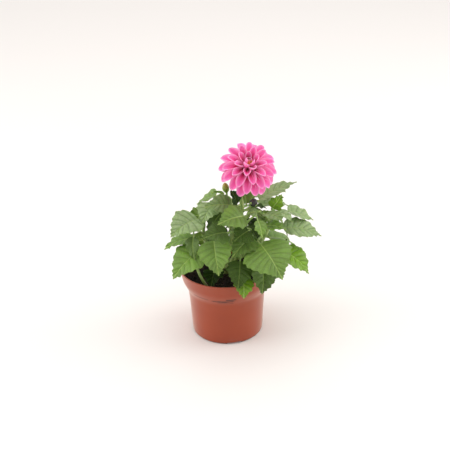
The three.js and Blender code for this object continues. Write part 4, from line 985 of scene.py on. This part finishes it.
# Closed florets: a waxy warm yellow, and already pink at the tips of the outer ones.
heart_skin, tree = new_material("closed_florets")
petal = add(tree, "SeparateXYZ", {0: add(tree, "Attribute", out=1, attribute_name="petal")})
ring = petal.node.outputs[2]
ripe = add(tree, "MapRange", {"Value": ring, "From Min": -0.75, "From Max": -0.4})
tip = add(tree, "MapRange", {"Value": petal, "From Min": 0.35, "From Max": 0.9})
ripe = add(tree, "Math", {0: ripe, 1: tip}, operation="MULTIPLY")
colour = add(tree, "Mix", {0: ripe, 6: linear(HEART_YELLOW), 7: linear(HEART_PINK)},
             out=2, data_type="RGBA")
grain = add(tree, "TexNoise", {"Vector": add(tree, "TexCoord", out=3), "Scale": 1 / (HEART_GRAIN * MM)})
bump = add(tree, "Bump", {"Strength": 0.3, "Distance": 0.1 * MM, "Height": grain})
shader = add(tree, "BsdfPrincipled", {"Base Color": colour, "Roughness": 0.4, "Normal": bump,
                                      "Subsurface Weight": 0.2, "Subsurface Radius": (1.0, 0.5, 0.4),
                                      "Subsurface Scale": 1.5 * MM, "Specular IOR Level": 0.3})
add(tree, "OutputMaterial", {"Surface": shader})

bloom = bloom_shape.piece("double_bloom", [petal_skin, heart_skin])
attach(bloom, "root")
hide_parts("bloom")

# Calyx
# The green cup that holds the petals behind, a thickening of the stem, with seven fleshy bracts that
# bend back from it.
CALYX_CUP = [[0, -13], [2.6, -13, 1], [4.8, -11, 2], [7.2, -8.4, 2], [8.6, -5.6, 1], [7.0, -4.6, 1],
             [0, -4.6]]
BRACTS = 7
BRACT_FROM, BRACT_TO = 7.5, 18  # from the bloom's centre
BRACT_LEAN = (126, 138)  # degrees from the bloom's axis, at its foot and at its tip
BRACT_HALF_WIDTH = (2.6, 2.1)
BRACT_THICK = 0.8
BRACT_ROWS, BRACT_COLUMNS = 12, 8
calyx_shape = Shape()
points, faces = lathe(rounded(CALYX_CUP), 40)
calyx_shape.take(points @ turned + BLOOM_CENTRE, faces)
s, t = np.meshgrid(np.linspace(0, 0.99, BRACT_ROWS), np.linspace(-1, 1, BRACT_COLUMNS + 1), indexing="ij")
for index in range(BRACTS):
    turn = 2 * math.pi * index / BRACTS
    lean = np.radians(mix(*BRACT_LEAN, s))
    width = mix(*BRACT_HALF_WIDTH, s) * (1 - np.clip((s - 0.55) / 0.45, 0, 1) ** 2.4) ** 0.6
    outward = bloom_direction(lean - math.pi / 2, turn)
    points = (BLOOM_CENTRE + bloom_direction(lean, turn) * mix(BRACT_FROM, BRACT_TO, s)[..., None]
              + bloom_direction(math.pi / 2, turn - math.pi / 2) * (t * width)[..., None]
              - outward * (0.5 * t ** 2)[..., None])
    calyx_shape.take(*sheet(points, grid_normals(points), BRACT_THICK))

CALYX_GREEN, CALYX_PALE = "#6c9136", "#a8bf6a"
CALYX_MOTTLE = 3.85
# Fleshy green bracts: smooth, a little shiny, with paler mottling.
bract_skin, tree = new_material("fleshy_green_bract")
place = add(tree, "TexCoord", out=3)
mottle = add(tree, "TexNoise", {"Vector": place, "Scale": 1 / (CALYX_MOTTLE * MM), "Detail": 3.0})
mottle = add(tree, "MapRange", {"Value": mottle, "From Min": 0.3, "From Max": 0.7})
colour = add(tree, "Mix", {0: mottle, 6: linear(CALYX_GREEN), 7: linear(CALYX_PALE)},
             out=2, data_type="RGBA")
bump = add(tree, "Bump", {"Strength": 0.3, "Distance": 0.15 * MM, "Height": mottle})
shader = add(tree, "BsdfPrincipled", {"Base Color": colour, "Roughness": 0.42, "Normal": bump,
                                      "Subsurface Weight": 0.12, "Subsurface Radius": (0.5, 1.0, 0.2),
                                      "Subsurface Scale": 1.5 * MM})
add(tree, "OutputMaterial", {"Surface": shader})
calyx = calyx_shape.piece("bloom_calyx", [bract_skin])
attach(calyx, "root")
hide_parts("calyx")

# Buds
# Three closed buds, each a tight egg of overlapping scales in a ring of four narrow green sepals: two
# still green, and a ripe one that is nearly black.
# Each bud's base and tip, its radius and its slot:
BUDS = {
    "bud_left": ((3, -1, 192), (1, -2, 205), 4.2, "bud_green"),
    "bud_dark": ((33, -22, 184), (37, -27, 192.5), 5.0, "bud_dark"),
    "bud_back": ((37, 27, 180.4), (39, 31, 191), 4.6, "bud_green"),
}
# Radius, height and corner radius, as shares of the bud's radius, length and radius
BUD_PROFILE = [[0, 0], [0.42, 0, 0.1], [0.85, 0.2, 0.2], [1, 0.48, 0.25], [0.66, 0.82, 0.2],
               [0.15, 0.99, 0.1], [0, 1]]
BUD_SIDES = 40
BUD_RIBS = 8
RIB_HEIGHT, RIB_TWIST = 0.07, 1.2
SEPALS = 4
SEPAL_THICK = 0.6
# Their colour below and at the point, and the edge of each scale
BUD_COLOURS = {"bud_green": ("#6f8f2c", "#a8923a"), "bud_dark": ("#1b1b21", "#30272a")}
BUD_SCALE_EDGE = "#3d4a1c"
BUD_GRAIN = 1.43  # drawn coarser than life, so that it shows
bud_skins = {}
for slot, (ground, tips) in BUD_COLOURS.items():
    # Bud scales: waxy and tight, each edged darker, warmer in colour towards the bud's point.
    bud_skin, tree = new_material(slot + "_scales")
    bud_mark = add(tree, "SeparateXYZ", {0: add(tree, "Attribute", out=1, attribute_name="scale")})
    up_it = bud_mark.node.outputs[2]
    ridge = add(tree, "Math", {0: bud_mark, 1: BUD_RIBS}, operation="MULTIPLY")
    ridge = add(tree, "Math", {0: ridge}, operation="SINE")
    ridge = add(tree, "MapRange", {"Value": ridge, "From Min": -1.0, "From Max": -0.55,
                                   "To Min": 0.55, "To Max": 0.0})
    warm = add(tree, "MapRange", {"Value": up_it, "From Min": 0.35, "From Max": 1.0})
    colour = add(tree, "Mix", {0: warm, 6: linear(ground), 7: linear(tips)}, out=2, data_type="RGBA")
    colour = add(tree, "Mix", {0: ridge, 6: colour, 7: linear(BUD_SCALE_EDGE)}, out=2, data_type="RGBA")
    place = add(tree, "TexCoord", out=3)
    grain = add(tree, "TexNoise", {"Vector": place, "Scale": 1 / (BUD_GRAIN * MM), "Detail": 2.0})
    bump = add(tree, "Bump", {"Strength": 0.3, "Distance": 0.1 * MM, "Height": grain})
    shader = add(tree, "BsdfPrincipled", {"Base Color": colour, "Roughness": 0.4, "Normal": bump})
    add(tree, "OutputMaterial", {"Surface": shader})
    bud_skins[slot] = bud_skin

for name, (base, tip, radius, slot) in BUDS.items():
    base = np.array(base, float)
    axis = np.array(tip, float) - base
    length = np.linalg.norm(axis)
    up = axis / length
    side = unit(np.cross([0, 1, 0], up))
    axes = np.stack([side, np.cross(up, side), up])
    sized = [[r * radius, z * length, *(c * radius for c in corner)] for r, z, *corner in BUD_PROFILE]
    profile = rounded(sized, 5)
    points, faces = lathe(profile, BUD_SIDES)
    height = points[:, 2] / length
    twisted = np.arctan2(points[:, 1], points[:, 0]) + RIB_TWIST * height
    rib = 1 + RIB_HEIGHT * np.abs(np.cos(BUD_RIBS / 2 * twisted))
    points[:, :2] *= rib[:, None]
    shape = Shape()
    shape.take(points @ axes + base, faces, scale=np.stack([twisted, np.zeros_like(height), height], 1))
    s, t = np.meshgrid(np.linspace(0, 0.99, 9), np.linspace(-1, 1, 7), indexing="ij")
    for index in range(SEPALS):
        turn = 2 * math.pi * (index + 0.5) / SEPALS
        outward = np.array([math.cos(turn), math.sin(turn), 0])
        across = np.cross(outward, [0, 0, 1])
        lean = mix(0.35, 0.9, s)[..., None]
        run = outward * np.cos(lean) + np.array([0, 0, 1]) * np.sin(lean)
        width = mix(1.6, 1.3, s) * (1 - np.clip((s - 0.4) / 0.6, 0, 1) ** 2) ** 0.7
        points = (np.array([0, 0, 1.2]) + run * (mix(0.6, 1.7, s) * radius)[..., None]
                  + across * (t * width)[..., None] + np.array([0, 0, 0.3]) * (t ** 2)[..., None])
        skin_points, skin_faces = sheet(points, grid_normals(points), SEPAL_THICK)
        shape.take(skin_points @ axes + base, skin_faces, slot=1)
    bud = shape.piece(name + "_closed", [bud_skins[slot], bract_skin])
    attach(bud, "root")
    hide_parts(name)
